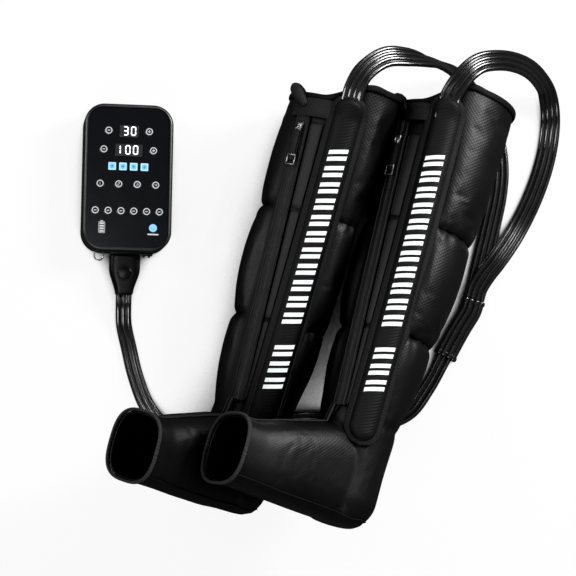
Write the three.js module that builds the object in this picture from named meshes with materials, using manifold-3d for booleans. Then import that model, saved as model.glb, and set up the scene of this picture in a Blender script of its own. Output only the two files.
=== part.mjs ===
// Air compression leg massager: a hand-held pump, its hose plug and hoses, and two leg boots.
// Everything lies on one surface, the plane Z = 0. Millimetres, +Z up, +Y along the boots' legs.
// The origin is the centre of the pump's flat back, which rests on that surface.
import * as THREE from 'three';
import { mergeVertices } from 'three/addons/utils/BufferGeometryUtils.js';
import Module from 'manifold-3d';

// Clearances, and how far a cutting body runs past what it cuts
const seatGap = 0.3;
const slidingGap = 0.4;
const overrun = 4;

// Pump case
const pumpWidth = 122;
const pumpHeight = 202;
const pumpDepth = 50;
const pumpCornerRadius = 28;
const pumpYaw = THREE.MathUtils.degToRad(14.4);
const caseWall = 3;
const caseSeamHeight = 29;
const bezelFrontRounding = 4.4;
const housingBackRounding = 4;

// Key panel in the case's front
const panelWidth = 112;
const panelHeight = 192;
const panelCornerRadius = 20;
const panelThickness = 2.4;
const panelRecess = 2.1;
const panelLedgeWidth = 3;
const panelLedgeThickness = 2;

// Keys
const keyRadius = 5.2;
const keyFlangeRadius = 6.5;
const keyFlangeThickness = 1;
const keyProud = 0.4;
const keyTravel = 0.6;
const keyPairSpacing = 55.4;
const keyLowerPairSpacing = 67.8;
const displayRowHeight = 64;
const displayPitch = 26;
const modeKeyCount = 4;
const modeKeyPitch = 25.3;
const modeRowHeight = -9.3;
const zoneKeyCount = 6;
const zoneKeyPitch = 17.5;
const zoneRowHeight = -46;
const powerKeyAcross = 35.6;
const powerKeyHeight = -68.4;

// Displays and mode lamps
const displayWindowWidth = 25;
const displayWideWindowWidth = 36;
const displayWindowHeight = 16;
const displayFaceRecess = 0.5;
const lampCount = 4;
const lampPitch = 14.7;
const lampSize = 10.4;
const lampRowHeight = 15;

// Inside the case
const boardWidth = 100;
const boardHeight = 150;
const boardThickness = 1.6;
const boardLevel = 34;
const boardPostRadius = 3.5;
const boardPostAcross = 44;
const boardPostAlong = 58;
const switchRadius = 3;
const batteryWidth = 62;
const batteryLength = 38;
const batteryThickness = 18;
const batteryAcross = -6;
const batteryAlong = -45;
const motorRadius = 12;
const motorLength = 30;
const motorEndAcross = -8;
const motorAlong = 38;
const motorShaftRadius = 1.5;
const motorShaftLength = 9;
const eccentricRadius = 7;
const eccentricThickness = 5;
const crankThrow = 3;
const crankPinRadius = 1.5;
const crankPinLength = 6;
const compressorWidth = 38;
const compressorLength = 44;
const compressorThickness = 24;
const compressorMouthRadius = 7.5;
const manifoldWidth = 58;
const manifoldLength = 15;
const manifoldThickness = 16;

// Case screws
const screwInset = 14;
const screwHeadRadius = 3.2;
const screwHeadThickness = 1.8;
const screwHeadSink = 0.6;
const screwShankRadius = 1.5;
const screwLength = 36;
const screwBossRadius = 4.5;

// Outlet socket, and the plug that goes in it
const socketWidth = 40;
const socketThickness = 16;
const socketLength = 16;
const socketWall = 3.2;
const socketProud = 2;
const socketLevel = 18;
const plugWidth = 42;
const plugLength = 56;
const plugThickness = 22;
const plugShoulderLength = 19;
const plugCornerRadius = 5;
const plugNeckWidth = 24;
const plugEdgeRounding = 3;
const spigotLength = 8;
const releaseButtonRadius = 9;
const releaseButtonTravel = 2.5;
const releaseButtonDepth = 6;
const releaseButtonProud = 1.2;
const releaseButtonShare = 0.46;

// Charging jack, its rubber cover, and the lanyard loop
const jackWidth = 12;
const jackHeight = 8;
const jackLength = 12;
const jackBoreRadius = 2.4;
const jackBoreDepth = 8;
const jackAcross = 30;
const portCoverWidth = 13;
const portCoverHeight = 11;
const portCoverThickness = 2.6;
const portHingeRadius = 1.6;
const loopAcross = -35.8;
const loopRadius = 6;
const loopWireRadius = 1.1;
const loopReach = 5;

// Boots
const bootSoleLength = 203;
const legTop = 574;
const rimRise = 40;
const rimRiseAngle = THREE.MathUtils.degToRad(120);
const rimLowShare = -0.25;
const rimHighShare = 0.6;
const heelRadius = 54;
const ankleRadius = 56;
const thighRadius = 84;
const thighShift = 14;
const ankleShift = -8;
const taperPower = 2.6;
const ankleSeam = 137;
const calfSeam = 264;
const kneeSeam = 416;
const seamPinch = 7;
const soleRounding = 9;
const heelRounding = 42;
const footHalfWidth = 50;
const toeHalfWidth = 46;
const instepHeight = 132;
const instepReach = 60;
const toeHeight = 96;
const toeLift = 11;
const footSquareShare = 0.62;
const coverThickness = 3;
const bladderThickness = 8;
const bladderMargin = 14;
const bindingThickness = 5;
const topBindingHeight = 7;
const toeBindingDepth = 9;
const bindingProud = 0.5;

// Flat, unpinched side of the leg, which carries the zipper and the hose cover
const flatSideFrom = THREE.MathUtils.degToRad(-4);
const flatSideTo = THREE.MathUtils.degToRad(90);
const flatSideBlend = THREE.MathUtils.degToRad(26);

// Hose cover on the leg
const hoseCoverTopAngle = THREE.MathUtils.degToRad(45);
const hoseCoverFootAngle = THREE.MathUtils.degToRad(62);
const hoseCoverWidth = 53;
const hoseCoverThickness = 8;
const hoseCoverCrownPower = 6;
const hoseCoverFrom = 106;
const hoseCoverTo = legTop + topBindingHeight;

// Zipper
const zipperTopAngle = THREE.MathUtils.degToRad(3);
const zipperFootAngle = THREE.MathUtils.degToRad(20);
const zipperFrom = 150;
const zipperTapeWidth = 22;
const zipperTapeThickness = 2.2;
const zipperTopMargin = 9;
const sliderLength = 12;
const sliderWidth = 9;
const sliderHeight = 4;
const sliderTopMargin = 34;
const pullLength = 48;
const pullWidth = 7;
const pullThickness = 1.6;
const pullPinRadius = 0.8;

// Closing strap above the zipper
const strapWidth = 24;
const strapThickness = 1.8;
const strapTopMargin = 2;
const strapLift = 4.4;
const strapFromAngle = THREE.MathUtils.degToRad(-10);
const strapToAngle = THREE.MathUtils.degToRad(24);

// Where the boots lie: the leg's axis at the heel, its climb and swing, and its roll about itself
const leftBootPlace = new THREE.Vector3(251, -404, 63.4);
const leftBootClimb = THREE.MathUtils.degToRad(3.0);
const leftBootSwing = THREE.MathUtils.degToRad(0);
const leftBootRoll = THREE.MathUtils.degToRad(39);
const rightBootPlace = new THREE.Vector3(385, -385, 146);
const rightBootClimb = THREE.MathUtils.degToRad(-6.1);
const rightBootSwing = THREE.MathUtils.degToRad(1.2);
const rightBootRoll = THREE.MathUtils.degToRad(26.5);

// The left leg is soft and pressed flat where the right leg lies against it
const pressGap = 1.5;

// Hoses: tubes lie side by side in a flat row, the trunk's three and each boot's four
const tubePitch = 7.2;
const trunkTubes = 3;
const ribbonTubes = 4;
const hoseSteps = 46;
const rowEndSides = 4;

// Ribbed collar where the hoses join
const collarWidth = 34;
const collarThickness = 16.4;
const collarRidge = 1.8;
const collarRidges = 4;
const collarRidgeShare = 0.45;
const collarRiseShare = 0.0625;

// Routes of the hoses, chosen by hand: each point's place, then the roll of the flat row in degrees
const trunkRoute = [
  [39.8, -155.2, 18, 0], [42.9, -167.5, 17.6, 0], [51, -192, 8, 0], [67, -222, 4.2, 0], [86, -256, 4, 0],
  [113, -292, 4, 0], [147, -314, 4, 0], [188, -314, 4, 0], [226, -297, 4, 0], [268, -274, 4, 0],
  [323, -253, 4, 0], [390, -236, 4, 0], [440, -224, 4, 0], [470, -201, 4.5, 0], [486, -161, 7, 0],
  [497.2, -114.2, 8.9, 0],
];
const collarRoute = [
  [497.5, -113.2, 9], [501.2, -97, 9], [509, -66, 9.2], [516.6, -40, 9.2], [517.2, -23.5, 9.2],
];
const leftRibbonRoute = [
  [251.9, 172.6, 174.3, 4], [252.2, 184, 174.9, 4], [258, 207, 175, 2], [281, 236, 168, 0],
  [314, 250, 152, -20],
  [350, 260, 122, -55], [378, 267, 82, -50], [402, 271, 42, -25], [424, 268, 14, -5], [446, 254, 4.4, 0],
  [469, 232, 4.2, 0], [490, 204, 4.2, 0], [504, 172, 4.2, 0], [512, 134, 4.2, 0], [515, 82, 4.2, 0],
  [516.4, 25, 4.8, 0], [517.2, -6, 5.2, 0], [517.2, -22.6, 5.2, 0],
];
const rightRibbonRoute = [
  [381.4, 201.5, 165.6, 14], [382, 213, 165, 14], [391, 242, 166, 10], [408, 267, 162, 5],
  [440, 285, 144, 0],
  [480, 296, 108, 0], [514, 296, 66, 0], [541, 286, 27, 0], [558, 260, 8, 0], [566, 221, 4.2, 0],
  [567, 179, 4, 0], [563, 138, 4, 0], [555, 98, 4.6, 0], [545, 66, 9, 0], [534, 38, 12.7, 0],
  [523, 12, 12.9, 0], [517.6, -7, 12.9, 0], [517.2, -22.6, 12.9, 0],
];

// Facets
const legSides = 18;
const footSides = 12;
const roundSides = 14;
const smallSides = 8;
const bendSteps = 8;
const arcSegments = 3;
const edgeSegments = 2;

const finish = {
  caseSatin: new THREE.MeshStandardMaterial({ color: '#232427', roughness: 0.42, metalness: 0.1 }),
  housing: new THREE.MeshStandardMaterial({ color: '#141416', roughness: 0.5, metalness: 0 }),
  gloss: new THREE.MeshStandardMaterial({ color: '#0b0b0d', roughness: 0.12, metalness: 0 }),
  key: new THREE.MeshStandardMaterial({ color: '#1b1b1f', roughness: 0.3, metalness: 0 }),
  display: new THREE.MeshStandardMaterial({ color: '#2c3036', roughness: 0.2, metalness: 0 }),
  lamp: new THREE.MeshStandardMaterial({ color: '#58b2e8', roughness: 0.3, metalness: 0 }),
  board: new THREE.MeshStandardMaterial({ color: '#1d5a34', roughness: 0.5, metalness: 0 }),
  battery: new THREE.MeshStandardMaterial({ color: '#3465a8', roughness: 0.4, metalness: 0 }),
  steel: new THREE.MeshStandardMaterial({ color: '#b9bcc0', roughness: 0.3, metalness: 1 }),
  paleMoulding: new THREE.MeshStandardMaterial({ color: '#c9c9c4', roughness: 0.5, metalness: 0 }),
  rubber: new THREE.MeshStandardMaterial({ color: '#121213', roughness: 0.7, metalness: 0 }),
  hose: new THREE.MeshStandardMaterial({ color: '#101012', roughness: 0.25, metalness: 0 }),
  cover: new THREE.MeshStandardMaterial({ color: '#17171a', roughness: 0.6, metalness: 0 }),
  bladder: new THREE.MeshStandardMaterial({ color: '#0d0d0f', roughness: 0.7, metalness: 0 }),
  binding: new THREE.MeshStandardMaterial({ color: '#3a3a3c', roughness: 0.8, metalness: 0 }),
  webbing: new THREE.MeshStandardMaterial({ color: '#1c1c1e', roughness: 0.8, metalness: 0 }),
};

const wasm = await Module();
wasm.setup();

// Turns a closed mesh into a solid that can be joined and cut
function toSolid(geometry) {
  const bare = geometry.clone();
  bare.deleteAttribute('normal');
  bare.deleteAttribute('uv');
  const merged = mergeVertices(bare);
  const vertProperties = new Float32Array(merged.attributes.position.array);
  const triVerts = new Uint32Array(merged.index.array);
  return new wasm.Manifold(new wasm.Mesh({ numProp: 3, vertProperties, triVerts }));
}

// Turns a solid back into a mesh
function toGeometry(solid) {
  const mesh = solid.getMesh();
  const geometry = new THREE.BufferGeometry();
  geometry.setAttribute('position', new THREE.BufferAttribute(new Float32Array(mesh.vertProperties), 3));
  geometry.setIndex(new THREE.BufferAttribute(new Uint32Array(mesh.triVerts), 1));
  geometry.computeVertexNormals();
  return geometry;
}

function joined(first, ...others) {
  return toGeometry(others.reduce((solid, other) => solid.add(toSolid(other)), toSolid(first)));
}

function cut(body, ...tools) {
  return toGeometry(tools.reduce((solid, tool) => solid.subtract(toSolid(tool)), toSolid(body)));
}

// A closed body through rings of equally many points, with a fan at each end
function loft(rings, endHub = null) {
  const count = rings[0].length;
  const positions = [];
  const index = [];
  rings.forEach((ring) => ring.forEach((point) => positions.push(...point.toArray())));
  for (let i = 0; i + 1 < rings.length; i += 1) {
    for (let j = 0; j < count; j += 1) {
      const here = i * count + j;
      const next = i * count + (j + 1) % count;
      index.push(here, next, next + count, here, next + count, here + count);
    }
  }
  [[0, true], [rings.length - 1, false]].forEach(([ring, atStart]) => {
    const middle = rings[ring].reduce((sum, point) => sum.add(point), new THREE.Vector3());
    middle.divideScalar(count);
    if (endHub && !atStart) {
      middle.copy(endHub);
    }
    const hub = positions.length / 3;
    positions.push(...middle.toArray());
    for (let j = 0; j < count; j += 1) {
      const here = ring * count + j;
      const next = ring * count + (j + 1) % count;
      index.push(...(atStart ? [hub, next, here] : [hub, here, next]));
    }
  });
  if (signedVolume(positions, index) < 0) {
    index.reverse();
  }
  const geometry = new THREE.BufferGeometry();
  geometry.setAttribute('position', new THREE.BufferAttribute(new Float32Array(positions), 3));
  geometry.setIndex(index);
  geometry.computeVertexNormals();
  return geometry;
}

function signedVolume(positions, index) {
  const [a, b, c] = [new THREE.Vector3(), new THREE.Vector3(), new THREE.Vector3()];
  let volume = 0;
  for (let i = 0; i < index.length; i += 3) {
    a.fromArray(positions, index[i] * 3);
    b.fromArray(positions, index[i + 1] * 3);
    c.fromArray(positions, index[i + 2] * 3);
    volume += a.dot(b.cross(c)) / 6;
  }
  return volume;
}

function roundedOutline(width, height, radius) {
  const shape = new THREE.Shape();
  const x = width / 2;
  const y = height / 2;
  shape.moveTo(-x + radius, -y);
  shape.lineTo(x - radius, -y);
  shape.absarc(x - radius, -y + radius, radius, -Math.PI / 2, 0, false);
  shape.lineTo(x, y - radius);
  shape.absarc(x - radius, y - radius, radius, 0, Math.PI / 2, false);
  shape.lineTo(-x + radius, y);
  shape.absarc(-x + radius, y - radius, radius, Math.PI / 2, Math.PI, false);
  shape.lineTo(-x, -y + radius);
  shape.absarc(-x + radius, -y + radius, radius, Math.PI, 1.5 * Math.PI, false);
  return shape;
}

// A rounded rectangle from one level to another
function roundedSlab(width, height, radius, from, to) {
  const outline = roundedOutline(width, height, radius);
  const slab = new THREE.ExtrudeGeometry(outline, {
    depth: to - from,
    bevelEnabled: false,
    curveSegments: arcSegments,
  });
  return slab.translate(0, 0, from);
}

// The same slab with both of its long edges rounded
function softSlab(width, height, radius, from, to, rounding) {
  const outline = roundedOutline(width - 2 * rounding, height - 2 * rounding, radius - rounding);
  const slab = new THREE.ExtrudeGeometry(outline, {
    depth: to - from - 2 * rounding,
    bevelThickness: rounding,
    bevelSize: rounding,
    bevelSegments: edgeSegments,
    curveSegments: arcSegments,
  });
  return slab.translate(0, 0, from + rounding);
}

function box(from, to) {
  const size = to.clone().sub(from);
  const middle = to.clone().add(from).divideScalar(2);
  return new THREE.BoxGeometry(size.x, size.y, size.z).translate(middle.x, middle.y, middle.z);
}

function point(x, y, z) {
  return new THREE.Vector3(x, y, z);
}

// An upright cylinder between two levels
function post(x, y, radius, from, to, sides = roundSides) {
  const cylinder = new THREE.CylinderGeometry(radius, radius, to - from, sides);
  return cylinder.rotateX(Math.PI / 2).translate(x, y, (from + to) / 2);
}

function addMesh(group, name, geometry, material) {
  const mesh = new THREE.Mesh(geometry, material);
  mesh.name = name;
  group.add(mesh);
  return mesh;
}

const group = new THREE.Group();
const pump = new THREE.Group();
pump.rotation.z = pumpYaw;
group.add(pump);

// Levels inside the pump, counted up from its back
const panelFace = pumpDepth - panelRecess;
const panelBack = panelFace - panelThickness;
const ledgeTop = panelBack - seatGap;
const ledgeBottom = ledgeTop - panelLedgeThickness;
const floorTop = caseWall;
const boardTop = boardLevel + boardThickness;
const keyFlangeTop = panelBack - seatGap;
const keyFlangeBottom = keyFlangeTop - keyFlangeThickness;
const switchTop = keyFlangeBottom - keyTravel - slidingGap;
const bottomWallOuter = -pumpHeight / 2;
const bottomWallInner = bottomWallOuter + caseWall;
const screwPlaces = [-1, 1].flatMap((side) => [-1, 1].map((end) => [
  side * (pumpWidth / 2 - screwInset),
  end * (pumpHeight / 2 - screwInset),
]));
const screwBoreRadius = screwShankRadius + slidingGap;
const boardPostPlaces = [-1, 1].flatMap((side) => [-1, 1].map((end) => [
  side * boardPostAcross,
  end * boardPostAlong,
]));
const jackLevel = socketLevel;

// Keys: name, place across and place along
const keyPlaces = [
  ...[-1, 1].map((side) => ({
    name: side < 0 ? 'key_time_down' : 'key_time_up',
    x: side * keyPairSpacing / 2,
    y: displayRowHeight,
  })),
  ...[-1, 1].map((side) => ({
    name: side < 0 ? 'key_pressure_down' : 'key_pressure_up',
    x: side * keyLowerPairSpacing / 2,
    y: displayRowHeight - displayPitch,
  })),
  ...Array.from({ length: modeKeyCount }, (_, i) => ({
    name: `key_mode_${i + 1}`,
    x: (i - (modeKeyCount - 1) / 2) * modeKeyPitch,
    y: modeRowHeight,
  })),
  ...Array.from({ length: zoneKeyCount }, (_, i) => ({
    name: `key_zone_${i + 1}`,
    x: (i - (zoneKeyCount - 1) / 2) * zoneKeyPitch,
    y: zoneRowHeight,
  })),
  { name: 'key_power', x: powerKeyAcross, y: powerKeyHeight },
];

function socketOpening() {
  const width = socketWidth + 2 * seatGap;
  const half = socketThickness / 2 + seatGap;
  return box(
    point(-width / 2, bottomWallOuter - overrun, socketLevel - half),
    point(width / 2, bottomWallInner + overrun, socketLevel + half),
  );
}

function jackOpening() {
  const half = point(jackWidth / 2 + seatGap, 0, jackHeight / 2 + seatGap);
  return box(
    point(jackAcross - half.x, bottomWallOuter - overrun, jackLevel - half.z),
    point(jackAcross + half.x, bottomWallInner + overrun, jackLevel + half.z),
  );
}

function loopHole(side) {
  const hole = new THREE.CylinderGeometry(
    loopWireRadius + seatGap,
    loopWireRadius + seatGap,
    caseWall + 2 * overrun,
    smallSides,
  );
  return hole.translate(loopAcross + side * loopRadius, bottomWallOuter + caseWall / 2, socketLevel);
}

function rearHousing() {
  const shellHeight = caseSeamHeight + housingBackRounding;
  const shell = cut(
    softSlab(pumpWidth, pumpHeight, pumpCornerRadius, 0, shellHeight, housingBackRounding),
    roundedSlab(
      pumpWidth + overrun,
      pumpHeight + overrun,
      pumpCornerRadius,
      caseSeamHeight,
      shellHeight + overrun,
    ),
    roundedSlab(
      pumpWidth - 2 * caseWall,
      pumpHeight - 2 * caseWall,
      pumpCornerRadius - caseWall,
      floorTop,
      shellHeight + overrun,
    ),
  );
  const bosses = screwPlaces.map(([x, y]) => (
    post(x, y, screwBossRadius, floorTop / 2, caseSeamHeight, smallSides)
  ));
  const boardPosts = boardPostPlaces.map(([x, y]) => (
    post(x, y, boardPostRadius, floorTop / 2, boardLevel - seatGap, smallSides)
  ));
  const screwBores = screwPlaces.map(([x, y]) => (
    post(x, y, screwBoreRadius, -overrun, shellHeight, smallSides)
  ));
  const sinkTop = screwHeadSink + screwHeadThickness + seatGap;
  const headSinks = screwPlaces.map(([x, y]) => (
    post(x, y, screwHeadRadius + slidingGap, -overrun, sinkTop, smallSides)
  ));
  return cut(
    joined(shell, ...bosses, ...boardPosts),
    ...screwBores,
    ...headSinks,
    socketOpening(),
    jackOpening(),
    loopHole(-1),
    loopHole(1),
  );
}

function frontBezel() {
  const from = caseSeamHeight + seatGap;
  const ring = cut(
    softSlab(
      pumpWidth,
      pumpHeight,
      pumpCornerRadius,
      from - bezelFrontRounding,
      pumpDepth,
      bezelFrontRounding,
    ),
    roundedSlab(pumpWidth + overrun, pumpHeight + overrun, pumpCornerRadius, -overrun, from),
    roundedSlab(
      pumpWidth - 2 * caseWall,
      pumpHeight - 2 * caseWall,
      pumpCornerRadius - caseWall,
      -overrun,
      ledgeBottom,
    ),
    roundedSlab(
      panelWidth - 2 * panelLedgeWidth,
      panelHeight - 2 * panelLedgeWidth,
      panelCornerRadius - panelLedgeWidth,
      -overrun,
      pumpDepth + overrun,
    ),
    roundedSlab(
      panelWidth + 2 * seatGap,
      panelHeight + 2 * seatGap,
      panelCornerRadius + seatGap,
      ledgeTop,
      pumpDepth + overrun,
    ),
  );
  const posts = screwPlaces.map(([x, y]) => (
    post(x, y, screwBossRadius, from, ledgeTop - seatGap, smallSides)
  ));
  const bores = screwPlaces.map(([x, y]) => (
    post(x, y, screwBoreRadius, -overrun, screwLength + slidingGap, smallSides)
  ));
  return cut(joined(ring, ...posts), ...bores);
}

function displayWindow(row, width, margin, from, to) {
  const y = displayRowHeight - row * displayPitch;
  const half = displayWindowHeight / 2 + margin;
  return box(point(-width / 2 - margin, y - half, from), point(width / 2 + margin, y + half, to));
}

function lampWindow(i, margin, from, to) {
  const x = (i - (lampCount - 1) / 2) * lampPitch;
  const half = lampSize / 2 + margin;
  return box(point(x - half, lampRowHeight - half, from), point(x + half, lampRowHeight + half, to));
}

const displayWidths = [displayWindowWidth, displayWideWindowWidth];
const lampIndexes = Array.from({ length: lampCount }, (_, i) => i);

function keypadPanel() {
  const plate = roundedSlab(panelWidth, panelHeight, panelCornerRadius, panelBack, panelFace);
  const keyHoles = keyPlaces.map(({ x, y }) => (
    post(x, y, keyRadius + slidingGap, panelBack - overrun, panelFace + overrun)
  ));
  const windows = displayWidths.map((width, row) => (
    displayWindow(row, width, seatGap, panelBack - overrun, panelFace + overrun)
  ));
  const lamps = lampIndexes.map((i) => lampWindow(i, seatGap, panelBack - overrun, panelFace + overrun));
  return cut(plate, ...keyHoles, ...windows, ...lamps);
}

function displayModule() {
  const faces = displayWidths.map((width, row) => (
    displayWindow(row, width, 0, boardTop + caseWall, panelFace - displayFaceRecess)
  ));
  const halfHeight = (displayPitch + displayWindowHeight) / 2;
  const middle = displayRowHeight - displayPitch / 2;
  const carrier = box(
    point(-displayWideWindowWidth / 2, middle - halfHeight, boardTop + seatGap),
    point(displayWideWindowWidth / 2, middle + halfHeight, panelBack - seatGap),
  );
  return joined(carrier, ...faces);
}

function modeLampBlock() {
  const faces = lampIndexes.map((i) => lampWindow(i, 0, boardTop + caseWall, panelFace - displayFaceRecess));
  const half = ((lampCount - 1) * lampPitch + lampSize) / 2;
  const carrier = box(
    point(-half, lampRowHeight - lampSize / 2, boardTop + seatGap),
    point(half, lampRowHeight + lampSize / 2, panelBack - seatGap),
  );
  return joined(carrier, ...faces);
}

function controlBoard() {
  const plate = box(
    point(-boardWidth / 2, -boardHeight / 2, boardLevel),
    point(boardWidth / 2, boardHeight / 2, boardTop),
  );
  const switches = keyPlaces.map(({ x, y }) => (
    post(x, y, switchRadius, boardLevel + boardThickness / 2, switchTop, smallSides)
  ));
  return joined(plate, ...switches);
}

function key({ x, y }) {
  const flange = post(0, 0, keyFlangeRadius, keyFlangeBottom, keyFlangeTop);
  const cap = post(0, 0, keyRadius, keyFlangeBottom, panelFace + keyProud);
  return joined(flange, cap).translate(x, y, 0);
}

function batteryPack() {
  const from = floorTop + seatGap;
  const pack = roundedSlab(batteryWidth, batteryLength, boardPostRadius, from, from + batteryThickness);
  return pack.translate(batteryAcross, batteryAlong, 0);
}

const motorLevel = floorTop + seatGap + motorRadius;

// A cylinder lying across the pump
function lyingPost(radius, from, to, y, z, sides = roundSides) {
  const cylinder = new THREE.CylinderGeometry(radius, radius, to - from, sides);
  return cylinder.rotateZ(Math.PI / 2).translate((from + to) / 2, y, z);
}

function compressorMotor() {
  const can = lyingPost(motorRadius, motorEndAcross - motorLength, motorEndAcross, motorAlong, motorLevel);
  const shaftFrom = motorEndAcross - motorShaftLength;
  const shaft = lyingPost(
    motorShaftRadius,
    shaftFrom,
    motorEndAcross + motorShaftLength,
    motorAlong,
    motorLevel,
    smallSides,
  );
  return joined(can, shaft);
}

const eccentricFrom = motorEndAcross + slidingGap;
const eccentricTo = eccentricFrom + eccentricThickness;

function motorEccentric() {
  const disc = lyingPost(eccentricRadius, eccentricFrom, eccentricTo, motorAlong, motorLevel);
  const pinFrom = (eccentricFrom + eccentricTo) / 2;
  const pinAlong = motorAlong + motorShaftRadius + crankThrow;
  const pin = lyingPost(
    crankPinRadius,
    pinFrom,
    eccentricTo + crankPinLength,
    pinAlong,
    motorLevel,
    smallSides,
  );
  const bore = lyingPost(
    motorShaftRadius + seatGap,
    eccentricFrom - overrun,
    eccentricTo + overrun,
    motorAlong,
    motorLevel,
    smallSides,
  );
  return cut(joined(disc, pin), bore);
}

const compressorFrom = eccentricTo + slidingGap;

function compressorHead() {
  const from = floorTop + seatGap;
  const block = roundedSlab(compressorWidth, compressorLength, caseWall, from, from + compressorThickness);
  block.translate(compressorFrom + compressorWidth / 2, motorAlong, 0);
  const mouth = lyingPost(
    compressorMouthRadius,
    compressorFrom - overrun,
    eccentricTo + crankPinLength + slidingGap,
    motorAlong,
    motorLevel,
  );
  return cut(block, mouth);
}

function valveManifold() {
  const from = floorTop + seatGap;
  const along = bottomWallOuter - socketProud + socketLength + seatGap;
  const block = box(
    point(-manifoldWidth / 2, along, from),
    point(manifoldWidth / 2, along + manifoldLength, from + manifoldThickness),
  );
  const pitch = manifoldWidth / ribbonTubes;
  const coils = Array.from({ length: ribbonTubes }, (_, i) => post(
    (i - (ribbonTubes - 1) / 2) * pitch,
    along + manifoldLength / 2,
    pitch / 3,
    from + manifoldThickness / 2,
    boardLevel - caseWall,
    smallSides,
  ));
  return joined(block, ...coils);
}

function caseScrew([x, y]) {
  const headTop = screwHeadSink + screwHeadThickness;
  const head = post(x, y, screwHeadRadius, screwHeadSink, headTop, smallSides);
  const shank = post(x, y, screwShankRadius, headTop - screwHeadThickness / 2, screwLength, smallSides);
  return joined(head, shank);
}

const socketFace = bottomWallOuter - socketProud;

function outletSocket() {
  const half = socketThickness / 2;
  const body = box(
    point(-socketWidth / 2, socketFace, socketLevel - half),
    point(socketWidth / 2, socketFace + socketLength, socketLevel + half),
  );
  const mouthHalf = point(socketWidth / 2 - socketWall, 0, half - socketWall);
  const mouth = box(
    point(-mouthHalf.x, socketFace - overrun, socketLevel - mouthHalf.z),
    point(mouthHalf.x, socketFace + spigotLength + seatGap, socketLevel + mouthHalf.z),
  );
  return cut(body, mouth);
}

function chargingJack() {
  const face = bottomWallOuter + seatGap;
  const body = box(
    point(jackAcross - jackWidth / 2, face, jackLevel - jackHeight / 2),
    point(jackAcross + jackWidth / 2, face + jackLength, jackLevel + jackHeight / 2),
  );
  const bore = new THREE.CylinderGeometry(jackBoreRadius, jackBoreRadius, 2 * jackBoreDepth, smallSides);
  return cut(body, bore.translate(jackAcross, face, jackLevel));
}

// The rubber cover turns about an upright knuckle at its outer end
const portHingeAcross = jackAcross + portCoverWidth / 2;
const portCoverBack = bottomWallOuter - seatGap;
const portHingeAlong = portCoverBack - portHingeRadius;

function portCover() {
  const half = portCoverHeight / 2;
  const flap = box(
    point(jackAcross - portCoverWidth / 2, portCoverBack - portCoverThickness, jackLevel - half),
    point(portHingeAcross, portCoverBack, jackLevel + half),
  );
  const knuckle = post(
    portHingeAcross,
    portHingeAlong,
    portHingeRadius,
    jackLevel - half,
    jackLevel + half,
    smallSides,
  );
  const nub = box(
    point(jackAcross - portCoverWidth / 4, portCoverBack - 2 * portCoverThickness, jackLevel - half / 2),
    point(jackAcross, portCoverBack - portCoverThickness / 2, jackLevel + half / 2),
  );
  return joined(flap, knuckle, nub);
}

// A round wire along a list of points
function wire(points, radius, sides) {
  const rings = points.map((place, i) => {
    const before = points[Math.max(i - 1, 0)];
    const after = points[Math.min(i + 1, points.length - 1)];
    const along = after.clone().sub(before).normalize();
    const across = new THREE.Vector3(0, 0, 1);
    const third = new THREE.Vector3().crossVectors(along, across).normalize();
    return Array.from({ length: sides }, (_, j) => {
      const turn = 2 * Math.PI * j / sides;
      return place.clone()
        .addScaledVector(across, radius * Math.cos(turn))
        .addScaledVector(third, radius * Math.sin(turn));
    });
  });
  return loft(rings);
}

function lanyardLoop() {
  const inside = bottomWallInner + loopWireRadius;
  const bend = bottomWallOuter - loopReach;
  const arc = Array.from({ length: bendSteps + 1 }, (_, i) => {
    const turn = Math.PI * i / bendSteps;
    return point(loopAcross - loopRadius * Math.cos(turn), bend - loopRadius * Math.sin(turn), socketLevel);
  });
  const points = [
    point(loopAcross - loopRadius, inside, socketLevel),
    ...arc,
    point(loopAcross + loopRadius, inside, socketLevel),
  ];
  return wire(points, loopWireRadius, smallSides);
}

function addPump() {
  addMesh(pump, 'rear_housing', rearHousing(), finish.housing);
  addMesh(pump, 'front_bezel', frontBezel(), finish.caseSatin);
  addMesh(pump, 'keypad_panel', keypadPanel(), finish.gloss);
  addMesh(pump, 'display_module', displayModule(), finish.display);
  addMesh(pump, 'mode_lamp_block', modeLampBlock(), finish.lamp);
  addMesh(pump, 'control_board', controlBoard(), finish.board);
  addMesh(pump, 'battery_pack', batteryPack(), finish.battery);
  addMesh(pump, 'compressor_motor', compressorMotor(), finish.steel);
  addMesh(pump, 'motor_eccentric', motorEccentric(), finish.paleMoulding);
  addMesh(pump, 'compressor_head', compressorHead(), finish.paleMoulding);
  addMesh(pump, 'valve_manifold', valveManifold(), finish.paleMoulding);
  addMesh(pump, 'outlet_socket', outletSocket(), finish.housing);
  addMesh(pump, 'charging_jack', chargingJack(), finish.housing);
  addMesh(pump, 'port_cover', portCover(), finish.rubber);
  addMesh(pump, 'lanyard_loop', lanyardLoop(), finish.steel);
  screwPlaces.forEach((place, i) => addMesh(pump, `case_screw_${i + 1}`, caseScrew(place), finish.steel));
  keyPlaces.forEach((place) => addMesh(pump, place.name, key(place), finish.key));
}

addPump();

// Hose plug, in the pump's frame: a shield that narrows to the hose's neck
const plugTop = socketFace - seatGap;
const plugBottom = plugTop - plugLength;
const plugBack = socketLevel - plugThickness / 2;
const plugFront = socketLevel + plugThickness / 2;
const releaseButtonAlong = plugTop - releaseButtonShare * plugLength;

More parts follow.
